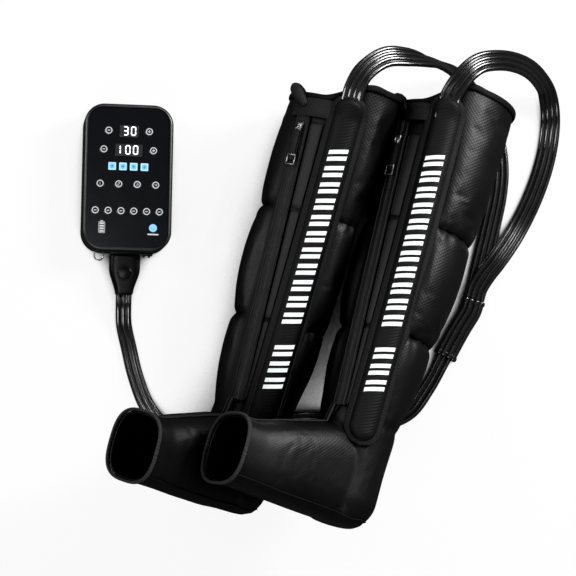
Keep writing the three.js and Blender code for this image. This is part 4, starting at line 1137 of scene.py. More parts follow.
@dataclass
class HoseSet:
    """The trunk of three tubes, the ribbed collar, and a ribbon of four tubes to each boot."""

    steps: int = 230
    tube_sides: int = 10
    groove: float = 0.93
    collar_width: float = 34
    collar_thickness: float = 16.4
    ridge: float = 1.8
    ridges: int = 4
    collar_flatness: float = 0.62

    def build(self) -> None:
        """Builds every hose, and the collar where they join."""
        collar = self.collar()
        rows = (
            ("trunk", TRUNK_ROUTE, 3, "trunk_hose", "fitting", [collar, bpy.data.objects["plug_shell"]]),
            ("left_ribbon", LEFT_ROUTE, 4, "left_ribbon_hose", "object", []),
            ("right_ribbon", RIGHT_ROUTE, 4, "right_ribbon_hose", "object", []),
        )
        for name, route, tubes, node, far_end, pieces in rows:
            path = self.centre_line(route)
            row = new_piece(
                name, self.row(path, tubes), MILLIMETRES, Finishes.vinyl, BOOTS, "hose_vinyl",
                replaces=[node],
            )
            places = [step[0] * MM for step in (path if name == "trunk" else path[::-1])]
            length = sum((b - a).length for a, b in zip(places, places[1:]))
            LOG.info("%s is %.3f m long", name, length)
            tuple(places[0])
            [tuple(spot) for spot in places]
            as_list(pieces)

    def centre_line(self, route: Route) -> Path:
        """Follows a route.

        Args:
            route: the points of a hose, each with the roll of its flat row in degrees.

        Returns:
            For each step its place, its direction and its roll in radians.
        """
        found = []
        for place, ahead, spot in catmull_rom([Vector(point[:3]) for point in route], self.steps):
            before = min(int(spot), len(route) - 2)
            roll = lerp(route[before][3], route[before + 1][3], spot - before)
            found.append((place, ahead, radians(roll)))
        return found

    def row(self, path: Path, tubes: int) -> BMesh:
        """Sweeps a flat row of joined tubes, whose outline has a round lobe for each tube.

        Args:
            path: places, directions and rolls.
            tubes: how many tubes lie side by side.

        Returns:
            The closed row.
        """
        radius = TUBE_PITCH / 2
        outline = []
        inner = acos(self.groove)
        for side in (1, -1):
            for count in range(tubes):
                middle = side * (tubes / 2 - 0.5 - count) * TUBE_PITCH
                outer_first = count == 0
                outer_last = count == tubes - 1
                start = 0 if outer_first else inner
                stop = pi if outer_last else pi - inner
                for step in range(self.tube_sides):
                    turn = lerp(start, stop, (step + (0 if outer_first else 0.5)) / self.tube_sides)
                    lobe = side * radius * outward(turn)
                    outline.append((middle + lobe.x, lobe.y))
        count = len(outline)

        def place(across: float, along: float) -> Vector:
            """Returns a place on the row's skin."""
            spot, ahead, roll = path[round(along * self.steps)]
            side = ahead.cross(UP).normalized()
            turn = Matrix.Rotation(roll, 3, ahead)
            x, y = outline[round(across * count) % count]
            return spot + turn @ side * x + turn @ side.cross(ahead) * y

        width = 2 * tubes * TUBE_PITCH
        return shaped_grid(count, self.steps, place, (width, 900), ring=True, capped=True)

    def collar(self) -> Piece:
        """Builds the moulded collar: a flat sleeve of lengthwise lobes with a thicker band at each end."""
        steps = 120
        path = catmull_rom([Vector(point[:3]) for point in COLLAR_ROUTE], steps)
        sides = 144
        band, rounding = 1.3, 1.4
        pitch = self.collar_width / self.ridges

        def place(across: float, along: float) -> Vector:
            """Returns a place on the collar's skin."""
            spot, ahead, _ = path[round(along * steps)]
            side = ahead.cross(UP).normalized()
            up = side.cross(ahead)
            edge = min(along, 1 - along)
            draw = band * smooth_step(0.09, 0.11, edge) + rounding * (1 - sqrt(min(edge * 40, 1)))
            wide, tall = squared(2 * pi * across, self.collar_flatness)
            x = (self.collar_width / 2 - draw) * wide
            lobe = 1 - abs(sin(pi * (x / pitch))) ** 0.6
            sunk = draw + self.ridge * lobe * smooth_step(1, 0.8, abs(wide))
            return spot + side * x + up * (self.collar_thickness / 2 - sunk) * tall

        bm = shaped_grid(sides, steps, place, (90, 95), ring=True, capped=True)
        return new_piece(
            "hose_collar", bm, MILLIMETRES, Finishes.vinyl, BOOTS, "collar_rubber",
            replaces=["junction_collar"],
        )


# The boots


@dataclass
class Boot:
    """One leg boot: four air chambers, bindings, zipper, placket, hose cover and closing strap.

    In a boot's own frame X points to the toe, Y to its outer side and Z up the leg, and an angle on
    the leg is counted from the toe towards the outer side.
    """

    side: str
    spot: tuple[float, float, float]
    climb: float
    swing: float
    roll: float
    pressed: bool
    toe_lift: float = 0
    neighbour: tuple[float, float] = (134, 1.2)
    sole_length: float = 203
    rim_rise: float = 40
    rim_rise_angle: float = radians(120)
    rim_base: float = 0
    rim_low_share: float = -0.25
    rim_high_share: float = 0.6
    heel_radius: float = 54
    ankle_radius: float = 56
    thigh_radius: float = 84
    thigh_shift: float = 14
    ankle_shift: float = -8
    taper_power: float = 2.6
    seams: tuple[float, ...] = (137, 264, 416, 574)
    seam_pinch: float = 7
    ankle_draw_share: float = 0.15
    rim_draw_share: float = 0.4
    pressed_draw_share: float = 0.35
    heel_rounding: float = 42
    foot_half_width: float = 50
    toe_half_width: float = 46
    instep_height: float = 132
    instep_reach: float = 60
    toe_height: float = 96
    foot_squareness: float = 0.7
    toe_cut: float = 198.6
    binding_height: float = 7
    flat_from: float = radians(-4)
    flat_to: float = radians(65)
    flat_blend: float = radians(14)
    press_gap: float = 1.5
    floor_gap: float = 0.4
    rim_fill: float = 4.5
    mouth_lift: float = 8
    voxel: float = 4.6
    puff_room: float = 3.2
    puff_limit: float = 6
    puff_frames: int = 16
    cloth_wall: float = 3
    strip_foot: float = 106
    strip_mouth: float = 581
    border_half: float = 26.5
    channel_inset: float = 6
    channel_half: float = 18.5
    channel_crown: float = 9.6
    channel_power: float = 2.6

    def __post_init__(self) -> None:
        """Works out the leg's top, its last seam, and the matrix that lays the boot down."""
        self.leg_top = self.seams[-1]
        climb, swing, roll = (radians(value) for value in (self.climb, self.swing, self.roll))
        level_share = cos(climb)
        axis = Vector((sin(swing) * level_share, cos(swing) * level_share, sin(climb)))
        level = UP.cross(axis).normalized()
        up = axis.cross(level)
        toe = level * cos(roll) + up * sin(roll)
        outer = axis.cross(toe)
        turn = Matrix((toe, outer, axis)).transposed().to_4x4()
        self.place = MILLIMETRES @ Matrix.Translation(self.spot) @ turn
        self.press_side = Vector((-cos(roll), sin(roll), 0))
        self.skin: BVHTree | None = None

    def piece(
        self, name: str, bm: BMesh, finish: Finish, slot: str, solid: str = "", **more: object
    ) -> Piece:
        """Adds a piece that rides with the boots unless told otherwise, in place of its side's solid."""
        body = more.pop("body", BOOTS)
        place = more.pop("place", self.place)
        if solid:
            more["replaces"] = [f"{self.side}_{solid}"]
        return new_piece(f"{self.side}_{name}", bm, place, finish, body, slot, **more)

    # The form of the leg and foot, the same as their solids'

    def leg_share(self, height: float) -> float:
        """Returns how far up the leg a height is, from 0 at the ankle."""
        return max(0.0, (height - self.seams[0]) / (self.leg_top - self.seams[0]))

    def leg_shift(self, height: float) -> float:
        """Returns how far back the leg's middle lies at a height."""
        return lerp(self.ankle_shift, self.thigh_shift, self.leg_share(min(height, self.leg_top)))

    def leg_radius(self, height: float) -> float:
        """Returns the leg's radius at a height."""
        height = min(height, self.leg_top)
        if height < self.seams[0]:
            rise = min(max(height / self.heel_rounding, 0), 1)
            share = smooth_step(self.seams[0] / 2, self.seams[0], height)
            waist = lerp(self.heel_radius, self.ankle_radius, share)
            return waist - self.heel_rounding * (1 - sqrt(rise * (2 - rise)))
        return lerp(self.ankle_radius, self.thigh_radius, self.leg_share(height))

    def bulge(self, height: float) -> float:
        """Returns how much fuller than a straight taper the calf and thigh are."""
        if height <= self.seams[0]:
            return 0
        left = 1 - self.leg_share(min(height, self.leg_top))
        return (self.thigh_radius - self.ankle_radius) * (left - left**self.taper_power)

    def seam_draw(self, height: float) -> float:
        """Returns how far the chambers' seams draw the leg in at a height."""
        for low, high in zip(self.seams, self.seams[1:]):
            if low <= height <= high:
                share = (height - low) / (high - low)
                firm = 1
                if low == self.seams[0]:
                    firm = lerp(self.ankle_draw_share, 1, smooth_step(0, 0.5, share))
                if high == self.leg_top:
                    firm = lerp(self.rim_draw_share, 1, smooth_step(1, 0.5, share))
                return firm * self.seam_pinch * (1 - sqrt(max(sin(pi * share), 0)))
        return 0

    def pinch(self, angle: float) -> float:
        """Returns 1 away from the flat side that carries the zipper and the hose cover, and 0 on it."""
        turned = atan2(sin(angle), cos(angle))
        return smooth_step(0, self.flat_blend, max(self.flat_from - turned, turned - self.flat_to))

    def rim_extra(self, x: float, y: float) -> float:
        """Returns how far the domed rim rises over a place above its lowest level."""
        ahead = x + self.leg_shift(self.leg_top)
        facing = cos(atan2(y, ahead) - self.rim_rise_angle)
        domed = smooth_step(self.rim_low_share, self.rim_high_share, facing)
        return self.rim_base + self.rim_rise * domed * hypot(ahead, y) / self.thigh_radius

    def level_under_rim(self, x: float, y: float, height: float) -> float:
        """Returns the level that a height stands for, as the top chamber stretches up to the domed rim."""
        start = self.seams[2]
        if height <= start:
            return height
        room = self.leg_top - start
        return start + (height - start) * room / (room + self.rim_extra(x, y))

    def leg_point(self, angle: float, height: float, inset: float = 0) -> Vector:
        """Returns a place on the leg for an angle and a height, that far inside its skin."""
        drawn = (self.seam_draw(height) - self.bulge(height)) * self.pinch(angle)
        radius = self.leg_radius(height) - drawn - inset
        place = radius * outward(angle) + height * UP
        if self.pressed and height > self.seams[0]:
            place -= self.press_side * self.beyond_neighbour(place, inset)
        place.x -= self.leg_shift(height)
        return place

    def beyond_neighbour(self, place: Vector, inset: float = 0) -> float:
        """Returns how far a place, counted from the leg's middle, lies beyond the pressed side."""
        level = min(place.z, self.leg_top)
        spacing = self.neighbour[0] + level * sin(radians(self.neighbour[1]))
        gap = self.press_gap - self.rim_fill * smooth_step(525, 548, place.z)
        reach = spacing - self.leg_radius(level) - self.bulge(level) - gap - inset
        return max(0.0, place.dot(self.press_side) - reach)

    def foot_size(self, x: float) -> tuple[float, float]:
        """Returns the foot's half width and height at a distance from the heel's middle."""
        stations = (
            (-self.instep_reach / 3, self.foot_half_width, self.seams[0]),
            (self.instep_reach, self.foot_half_width, self.instep_height),
            ((self.instep_reach + self.sole_length) / 2, self.foot_half_width, 109.5),
            (171, self.toe_half_width, self.toe_height),
            (self.sole_length + 10, self.toe_half_width, self.toe_height),
        )
        for start, end in zip(stations, stations[1:]):
            if x <= end[0]:
                share = max(0.0, (x - start[0]) / (end[0] - start[0]))
                return lerp(start[1], end[1], share), lerp(start[2], end[2], share)
        return stations[-1][1:]

    def toe_rise(self, x: float) -> float:
        """Returns how far the foot is bent up at a distance from the heel's middle."""
        return self.toe_lift * max(0, (x - self.instep_reach) / (self.sole_length - self.instep_reach))

    def foot_point(self, x: float, turn: float, inset: float = 0) -> Vector:
        """Returns a place on the foot for a distance from the heel and a turn about the foot."""
        half_width, height = self.foot_size(x)
        across, up = squared(turn, self.foot_squareness)
        middle = height / 2 + self.toe_rise(x)
        return Vector((x, (half_width - inset) * across, middle + (height / 2 - inset) * up))

    # The chambers

    def body_form(self, inset: float) -> BMesh:
        """Puts the closed leg and the closed foot in one mesh, a little inside their final skin."""
        top = self.leg_top + self.rim_base + 2 * self.rim_rise
        bottom = inset

        def leg(across: float, along: float) -> Vector:
            """Returns a place on the leg."""
            height = lerp(bottom, top, along**1.3)
            angle = 2 * pi * across
            end = self.leg_point(angle, self.leg_top, inset)
            level = min(self.level_under_rim(end.x, end.y, height), self.leg_top)
            place = self.leg_point(angle, level, inset)
            place.z = height
            return place

        def foot(across: float, along: float) -> Vector:
            """Returns a place on the foot."""
            return self.foot_point(lerp(-20, self.sole_length + 8, along), 2 * pi * across, inset)

        return merged(
            shaped_grid(80, 130, leg, ring=True, capped=True),
            shaped_grid(64, 40, foot, ring=True, capped=True),
        )

    def build(self) -> None:
        """Builds the boot."""
        shell = self.shell()
        self.cover(shell)
        self.top_binding()
        self.toe_binding()
        self.hose_cover()
        self.placket()
        self.closing_strap()
        self.rolled_corner()
        self.foot_piping()
        self.sole_seam()
        self.zipper()

    def shell(self) -> BMesh:
        """Joins leg and foot, fills them with air, and opens them at the thigh and the toes.

        Returns:
            The boot's open outer skin, in its own millimetres.
        """
        mesh = bpy.data.meshes.new("boot_form")
        form = self.body_form(self.puff_room)
        form.to_mesh(mesh)
        form.free()
        blank = add_object("boot_form", mesh)
        mesh.transform(MILLIMETRES)
        remesh = blank.modifiers.new("join", "REMESH")
        remesh.mode = "VOXEL"
        remesh.voxel_size = self.voxel * MM
        apply_modifiers(blank)
        self.inflate(blank)
        subdivide = blank.modifiers.new("smooth", "SUBSURF")
        subdivide.levels = subdivide.render_levels = 1
        apply_modifiers(blank)
        bm = bmesh.new()
        bm.from_mesh(blank.data)
        bpy.data.objects.remove(blank)
        bmesh.ops.scale(bm, vec=(1 / MM, 1 / MM, 1 / MM), verts=bm.verts)
        bmesh.ops.smooth_vert(
            bm, verts=bm.verts, factor=0.5, use_axis_x=True, use_axis_y=True, use_axis_z=True
        )
        self.pucker(bm)
        self.open_ends(bm, self.leg_top - self.binding_height, self.toe_cut)
        self.skin = BVHTree.FromBMesh(bm)
        return bm

    def inflate(self, blank: Piece) -> None:
        """Fills the chambers with air by cloth simulation, held at their seams and on the flat side.

        Args:
            blank: the closed form, in metres in the boot's own frame.
        """
        held = blank.vertex_groups.new(name="held")
        before = [vert.co.copy() for vert in blank.data.vertices]
        for vert in blank.data.vertices:
            held.add([vert.index], self.hold(vert.co / MM), "REPLACE")
        modifier = blank.modifiers.new("air", "CLOTH")
        settings = modifier.settings
        settings.quality = 5
        settings.mass = 0.25
        settings.tension_stiffness = 12
        settings.compression_stiffness = 12
        settings.shear_stiffness = 6
        settings.bending_stiffness = 3
        settings.use_pressure = True
        settings.uniform_pressure_force = 4
        settings.effector_weights.gravity = 0
        settings.vertex_group_mass = "held"
        settings.shrink_min = -0.004
        modifier.point_cache.frame_start = 1
        modifier.point_cache.frame_end = self.puff_frames
        scene = bpy.context.scene
        for count in range(self.puff_frames):
            scene.frame_set(count + 1)
        graph = bpy.context.evaluated_depsgraph_get()
        blown = [vert.co.copy() for vert in blank.evaluated_get(graph).data.vertices]
        blank.modifiers.clear()
        scene.frame_set(1)
        cap = self.puff_limit * MM
        for vert, start, end in zip(blank.data.vertices, before, blown):
            move = end - start
            vert.co = start + (move if move.length <= cap else move * (cap / move.length))

    def hold(self, place: Vector) -> float:
        """Returns how firmly a place of the form is held while the chambers fill."""
        x, y = place.xy
        height = self.level_under_rim(x, y, place.z)
        rim_room, sole_room, sole_hold, foot_hold, toe_room = 16, 12, 0.9, 0.25, 70
        if height > self.leg_top - rim_room:
            return 1
        if height < self.seams[0] + 3:
            firm = foot_hold if height > sole_room else sole_hold
            return max(firm, smooth_step(self.toe_cut - toe_room, self.toe_cut - 8, x))
        angle = atan2(y, x + self.leg_shift(height))
        seam = min(abs(height - level) for level in self.seams[1:])
        firm = 1 - smooth_step(2, 7, seam)
        return max(firm, 1 - self.pinch(angle), 0.02)

    def pucker(self, bm: BMesh) -> None:
        """Draws the seams in sharply, gathers the cloth beside them and keeps the skin above the floor."""
        lump_size, lump_height = 46, 1.3
        gather_count, gather_height, gather_reach = 19, 0.7, 14
        groove_depth, groove_reach = 5.5, 13
        for vert in bm.verts:
            x, y, height = vert.co
            soft = noise.noise(Vector((x, y, height)) / lump_size + Vector(self.spot)) * lump_height
            if height > self.seams[0] - 20:
                angle = atan2(y, x + self.leg_shift(height))
                near = min(abs(height - level) for level in self.seams[:3])
                gathers = sin(angle * gather_count + 3 * noise.noise(Vector((x, y, height)) / 30))
                wave = gather_height * exp(-near / gather_reach) * gathers
                rise = min(near / groove_reach, 1)
                groove = -groove_depth * (1 - sqrt(rise * (2 - rise)))
                if abs(height - self.seams[0]) < 20:
                    groove *= self.ankle_draw_share
                if self.pressed:
                    facing = cos(angle) * self.press_side.x + sin(angle) * self.press_side.y
                    groove *= lerp(1, self.pressed_draw_share, smooth_step(0.2, 0.8, facing))
                level = self.level_under_rim(x, y, height)
                fade = smooth_step(self.leg_top - 12, self.leg_top - 40, level)
                move = (wave + groove + soft) * self.pinch(angle) * fade
            else:
                move = 0.5 * soft * smooth_step(self.toe_cut - 2, self.toe_cut - 30, x)
            vert.co += vert.normal * move
        for vert in bm.verts:
            vert.co = self.above_floor(vert.co, self.floor_gap)
            if self.pressed and vert.co.z > self.seams[0]:
                middle = Vector((-self.leg_shift(vert.co.z), 0, 0))
                vert.co -= self.press_side * self.beyond_neighbour(vert.co - middle)

    def above_floor(self, spot: Vector, level: float) -> Vector:
        """Returns a place of the boot, raised to a level in millimetres over the floor if it lies lower."""
        world = self.place @ spot
        if world.z >= level * MM:
            return spot
        world.z = level * MM
        return self.place.inverted() @ world

    def open_ends(self, bm: BMesh, rim: float, toe: float) -> None:
        """Cuts the skin open along the domed rim and across the toes.

        Args:
            bm: the closed skin.
            rim: the rim's lowest level.
            toe: where the foot ends.
        """
        for vert in bm.verts:
            vert.co.z -= self.rim_extra(vert.co.x, vert.co.y)
        for middle, normal in (((0, 0, rim), (0, 0, 1)), ((toe, 0, 0), (1, 0, 0))):
            bmesh.ops.bisect_plane(
                bm, geom=bm.verts[:] + bm.edges[:] + bm.faces[:], dist=0.01,
                plane_co=middle, plane_no=normal, clear_outer=True,
            )
        for vert in bm.verts:
            vert.co.z += self.rim_extra(vert.co.x, vert.co.y)

    def cover(self, bm: BMesh) -> None:
        """Makes the outer cover and the air bladder's lining from the open skin."""
        self.map_cloth(bm)
        lining = bm.copy()
        bm.normal_update()
        made = self.piece("cover", bm, Finishes.boot, "boot_fabric", solid="outer_cover")
        self.thickened(made)
        rim_inset, toe_inset, skin_inset = 14, 46, 3.6
        self.open_ends(lining, self.leg_top - self.binding_height - rim_inset, self.toe_cut - toe_inset)
        lining.normal_update()
        for vert in lining.verts:
            vert.co -= vert.normal * skin_inset
        inner = self.piece(
            "chamber_lining", lining, Finishes.lining, "bladder_film",
            solid="air_bladder",
        )
        self.thickened(inner)

    def thickened(self, made: Piece) -> None:
        """Gives a piece its cloth's thickness, inwards."""
        wall = made.modifiers.new("wall", "SOLIDIFY")
        wall.thickness = self.cloth_wall * MM
        wall.offset = -1

    def map_cloth(self, bm: BMesh) -> None:
        """Unrolls the leg and the foot for the cloth's pattern, in metres of cloth."""
        layer = bm.loops.layers.uv.new(CLOTH_UV)
        foot_core = 52
        round_leg = 82 * BOOT_PITCH * MM
        for face in bm.faces:
            middle = face.calc_center_median()
            on_foot = middle.x > 40 and middle.z < self.seams[0] + 4
            if on_foot:
                base = atan2(middle.z - foot_core, middle.y)
            else:
                base = atan2(middle.y, middle.x + self.leg_shift(middle.z))
            for loop in face.loops:
                place = loop.vert.co
                if on_foot:
                    angle, along = atan2(place.z - foot_core, place.y), place.x
                else:
                    angle, along = atan2(place.y, place.x + self.leg_shift(place.z)), place.z
                angle = base + atan2(sin(angle - base), cos(angle - base))
                loop[layer].uv = (angle / (2 * pi) * round_leg, along * MM)

    def on_leg(self, angle: float, height: float, lift: float = 0) -> Vector:
        """Returns a place on the finished leg's skin, lifted outwards.

        Args:
            angle: angle on the leg.
            height: height on the leg.
            lift: distance from the skin.

        Returns:
            The place in the boot's millimetres.
        """
        away = outward(angle)
        middle = Vector((-self.leg_shift(height), 0, height))
        hit = self.skin.ray_cast(middle + away * 160, -away, 158)[0] if self.skin else None
        return (hit or self.leg_point(angle, height)) + away * lift

    # Bindings

    def top_binding(self) -> None:
        """Folds a woven band over the rim."""
        profile = (
            (-0.7, 8), (-0.9, 4), (-0.7, 0.6), (0.6, -0.5), (2.6, -0.9),
            (4.8, -0.4), (5.6, 1), (5.7, 4), (5.5, 8), (2.6, 8.4),
        )

        def place(across: float, along: float) -> Vector:
            """Returns a place on the folded band."""
            inset, drop = profile[round(across * len(profile)) % len(profile)]
            spot = self.leg_point(2 * pi * along, self.leg_top, inset)
            spot.z = self.leg_top + self.rim_extra(spot.x, spot.y) - drop
            return spot

        bm = shaped_grid(len(profile), 144, place, (20, 520), ring=True)
        for vert in bm.verts:
            vert.co = self.above_floor(vert.co, self.floor_gap)
        made = self.piece("rim_band", bm, Finishes.rim, "binding_fabric", solid="top_binding")
        self.rounded(made)

    def toe_binding(self) -> None:
        """Folds a woven band over the edge of the toe opening."""
        end = self.sole_length
        profile = (
            (0, end - 5), (-0.4, end - 2.8), (-0.1, end - 0.9), (0.8, end + 0.1), (2.2, end + 0.1),
            (3.4, end - 0.9), (3.7, end - 2.8), (3.4, end - 5), (1.7, end - 5.2),
        )

        def place(across: float, along: float) -> Vector:
            """Returns a place on the folded band."""
            inset, x = profile[round(across * len(profile)) % len(profile)]
            return self.foot_point(x, 2 * pi * along, inset)

        bm = shaped_grid(len(profile), 96, place, (24, 300), ring=True)
        made = self.piece("toe_band", bm, Finishes.binding, "binding_fabric", solid="toe_binding")
        self.rounded(made)

    def rounded(self, made: Piece) -> None:
        """Adds one level of subdivision to a piece."""
        subdivide = made.modifiers.new("round", "SUBSURF")
        subdivide.levels = subdivide.render_levels = 1

    # The padded cover over the hoses

    def strip_spot(self, share: float, height: float, half: float, lift: float) -> Vector:
        """Returns a place over the hose cover's line.

        Args:
            share: from -1 at its inner edge to 1 at its outer edge.
            height: height on the leg.
            half: half the width in millimetres that share 1 stands for.
            lift: distance from the leg's plain skin.

        Returns:
            The place in the boot's millimetres.
        """
        lift_half, lift_from, lift_to = 26, 546, 576
        across = abs(share) * half / lift_half
        mouth = height - self.rim_base
        lift += self.mouth_lift * smooth_step(lift_from, lift_to, mouth) * max(0, 1 - across**4)
        radius = self.leg_radius(max(height, self.seams[0]))
        along = (height - self.strip_foot) / (self.strip_mouth - self.strip_foot)
        angle = radians(lerp(62, 45, along)) + share * half / radius
        return (radius + lift) * outward(angle) + Vector((-self.leg_shift(height), 0, height))

    def band(
        self, low: float, high: float, half: float, base: float, crown: float, power: float, rows: int
    ) -> BMesh:
        """Builds a closed band with round ends over the hose cover's line.

        Args:
            low: its lower end.
            high: its upper end.
            half: half its width.
            base: level of its underside.
            crown: level of its crown.
            power: how flat the crown is.
            rows: faces along it.

        Returns:
            The band.
        """

        def place(across: float, along: float) -> Vector:
            """Returns a place on the band."""
            height = lerp(low, high, along)
            from_end = min(height - low, high - height, half) / half
            wide = half * sqrt(max(from_end * (2 - from_end), 0.0009))
            turn = 2 * pi * across
            share = squared(turn, 0.7)[0]
            lift = base
            if sin(turn) >= 0:
                full = sqrt(max(min(from_end * 2.2, 1), 0.02))
                edge = (base + min(crown, base + 1.6)) / 2
                lift = lerp(edge, lerp(base, crown, full), 1 - abs(share) ** power)
            return self.strip_spot(share, height, wide, lift)

        return shaped_grid(40, rows, place, (4 * half, high - low), ring=True, capped=True)

    def hose_cover(self) -> None:
        """Builds the woven border, the padded twill channel on it, its stitches and its white bars."""
        foot, mouth = self.strip_foot, self.strip_mouth + self.rim_base
        border = self.band(foot, mouth, self.border_half, 0.2, 2.6, 8, 150)
        self.piece("strip_border", border, Finishes.border, "strip_fabric", solid="hose_cover")
        channel = self.band(
            foot + self.channel_inset, mouth - 4, self.channel_half, 1.4, self.channel_crown,
            self.channel_power, 170,
        )
        self.piece("strip_channel", channel, Finishes.strip, "strip_fabric")
        seam_half, seam_lift, stitch_pitch = 19.6, 2.9, 4
        heights = range(foot + 18, mouth - 17, stitch_pitch)
        seams = [
            self.stitches([self.strip_spot(side, height, seam_half, seam_lift) for height in heights])
            for side in (-1, 1)
        ]
        self.piece("strip_stitches", merged(*seams), Finishes.thread, "strip_fabric")
        bars = []
        first, pair_pitch, twin_pitch, bar_length = 178, 22.4, 9.4, 5.6
        for count in range(15):
            if count == 3:
                continue
            for twin in (0, 1):
                bars.append(self.white_bar(first + count * pair_pitch + twin * twin_pitch, bar_length))
        self.piece("strip_bars", merged(*bars), Finishes.film, "strip_fabric")

    def white_bar(self, start: float, length: float) -> BMesh:
        """Builds one slanted bar of thin film on the channel's crown."""
        slant, edge, proud = 6, 2.2, 0.22

        def place(across: float, along: float) -> Vector:
            """Returns a place on the film."""
            share = lerp(-0.62, 0.62, across)
            height = start + length * along + share * slant
            lift = lerp(edge, self.channel_crown, 1 - abs(share) ** self.channel_power) + proud
            return self.strip_spot(share, height, self.channel_half, lift)

        bm = shaped_grid(8, 2, place, (24, length))
        bmesh.ops.solidify(bm, geom=bm.faces[:], thickness=0.2)
        return bm

    def stitches(self, line: Line, width: float = 0.7) -> BMesh:
        """Lays a row of short threads along a line, one between each two places."""
        threads = []
        for start, end in zip(line, line[1:]):
            ahead = end - start
            thread = bmesh.new()
            bmesh.ops.create_cube(thread, size=1)
            bmesh.ops.scale(thread, vec=(ahead.length * 0.68, width, width * 0.7), verts=thread.verts)
            turn = ahead.to_track_quat("X", "Z").to_matrix().to_4x4()
            middle = Matrix.Translation((start + end) / 2)
            bmesh.ops.transform(thread, matrix=middle @ turn, verts=thread.verts)
            threads.append(thread)
        return merged(*threads)

    # Placket, strap and corner

    def placket(self) -> None:
        """Lays the placket's overlapping panels between the zipper and the hose cover."""
        panels, seams = [], []
        zipper_room, cover_room = 10, 27.5
        for low, high in ((152, 262), (266, 414), (418, 536)):

            def place(across: float, along: float) -> Vector:
                """Returns a place on one panel."""
                height = lerp(low, high, along)
                share = (height - 150) / 415
                radius = self.leg_radius(height)
                zipper_edge = radians(lerp(20, 3, share)) + zipper_room / radius
                cover_edge = radians(lerp(61, 46, share)) - cover_room / radius
                angle = lerp(zipper_edge, cover_edge, 0.04 + 0.92 * across)
                edge = min(across, 1 - across, along * 6, (1 - along) * 6) * 12
                crown = 1.7 * sqrt(min(edge, 1)) + 0.8 * sin(pi * across)
                return self.on_leg(angle, height, 0.5 + crown + 1.2 * (1 - along))

            bm = shaped_grid(10, round((high - low) / 3), place, (24, high - low))
            bmesh.ops.solidify(bm, geom=bm.faces[:], thickness=1.2)
            panels.append(bm)
            proud = Vector((0.3, 0.3, 0))
            seams.append(self.stitches([place(0.12, step / 30) + proud for step in range(1, 30)], 0.6))
        self.piece("placket_panels", merged(*panels), Finishes.placket, "boot_fabric")
        self.piece("placket_stitches", merged(*seams), Finishes.thread, "boot_fabric")

    def closing_strap(self) -> None:
        """Lays the herringbone webbing over the zipper's top end."""
        width, below_rim = 24, 2
        bottom = self.leg_top + self.rim_base - below_rim - width - self.binding_height

        def place(across: float, along: float) -> Vector:
            """Returns a place on the webbing."""
            angle = radians(lerp(-12, 30, along))
            crest = 4.6 + 1.4 * sin(pi * along) - 1.2 * abs(2 * across - 1) ** 6
            return self.on_leg(angle, bottom + width * across + 3 * along, crest)

        bm = shaped_grid(10, 28, place, (width, 58))
        bmesh.ops.solidify(bm, geom=bm.faces[:], thickness=1.6)
        self.piece("closing_webbing", bm, Finishes.webbing, "strap_webbing", solid="closing_strap")

    def rolled_corner(self) -> None:
        """Rolls the front flap's corner up tightly above the rim, beside the zipper."""
        stations = (
            (4, 556, 1, 5), (-2, 563, 3, 7.4), (-8, 570, 4, 8.8), (-14, 577, 4.4, 7.6), (-17, 583, 4, 4.6),
        )
        middles = [
            self.plain_point(radians(angle), height)
            + self.rim_base * UP
            + outward(radians(angle)) * lift
            for angle, height, lift, _ in stations
        ]
        steps = 40
        path = catmull_rom(middles, steps)

        def place(across: float, along: float) -> Vector:
            """Returns a place on the roll, whose outer turn stands proud of the one beneath."""
            spot, ahead, reach = path[round(along * steps)]
            before = min(int(reach), len(stations) - 2)
            radius = lerp(stations[before][3], stations[before + 1][3], reach - before)
            radius *= sqrt(min(1, (1 - along) * 14 + 0.02)) * (1 + 0.16 * across)
            side = ahead.cross(Vector((1, 0, 0))).normalized()
            turned = radius * outward(2 * pi * across)
            return spot + side * turned.x + side.cross(ahead) * turned.y

        bm = shaped_grid(28, steps, place, (40, 50))
        bmesh.ops.holes_fill(bm, edges=[edge for edge in bm.edges if edge.is_boundary], sides=0)
        self.piece("flap_corner", bm, Finishes.webbing, "boot_fabric")

    def sole_seam(self) -> None:
        """Runs the welt between the foot's sides and its sole, round the heel."""
        middle_height, reach, heel = 46, 120, 2
        dip = radians(40)
        down = Vector((0, cos(dip), -sin(dip)))
        rays = []
        for step in range(41):
            x = lerp(self.toe_cut - 1, heel, step / 40)
            rays.append((Vector((x, 0, middle_height + self.toe_rise(x))), down))
        for step in range(1, 15):
            away = outward(radians(lerp(90, 190, step / 14))) - 0.75 * UP
            rays.append((Vector((heel, 0, middle_height)), away.normalized()))
        hits = [(self.skin.ray_cast(middle + away * reach, -away, reach)[0], away) for middle, away in rays]
        line = evened([hit + away * 0.3 for hit, away in hits if hit])
        welt = tube([self.above_floor(spot, 1.6) for spot in line], 1.3, 8)
        # The welt takes the near-black rim tape: it is the seam's own black piping, and it also stands for
        # the shade line along the seam, which is painted shade.
        self.piece("sole_welt", welt, Finishes.rim, "boot_fabric")

    def foot_piping(self) -> None:
        """Runs the closed seam from the zipper's foot over the instep to the toe opening."""
        line = []
        for step in range(9):
            height = lerp(156, 136, step / 8)
            line.append(self.on_leg(lerp(radians(19), radians(8), step / 8), height, 1))
        for step in range(1, 34):
            x = lerp(56, 196, step / 33)
            y = lerp(12, 2, step / 33)
            hit = self.skin.ray_cast(Vector((x, y, 260)), -UP, 250)[0]
            if hit:
                line.append(hit + 0.8 * UP)
        level = Vector((0, 1, 0))
        line = evened(line)
        welts = [tube([spot + side * 2.6 * level for spot in line], 1.7, 8, level) for side in (-1, 1)]
        self.piece("foot_welts", merged(*welts), Finishes.tape, "boot_fabric")

    # The zipper

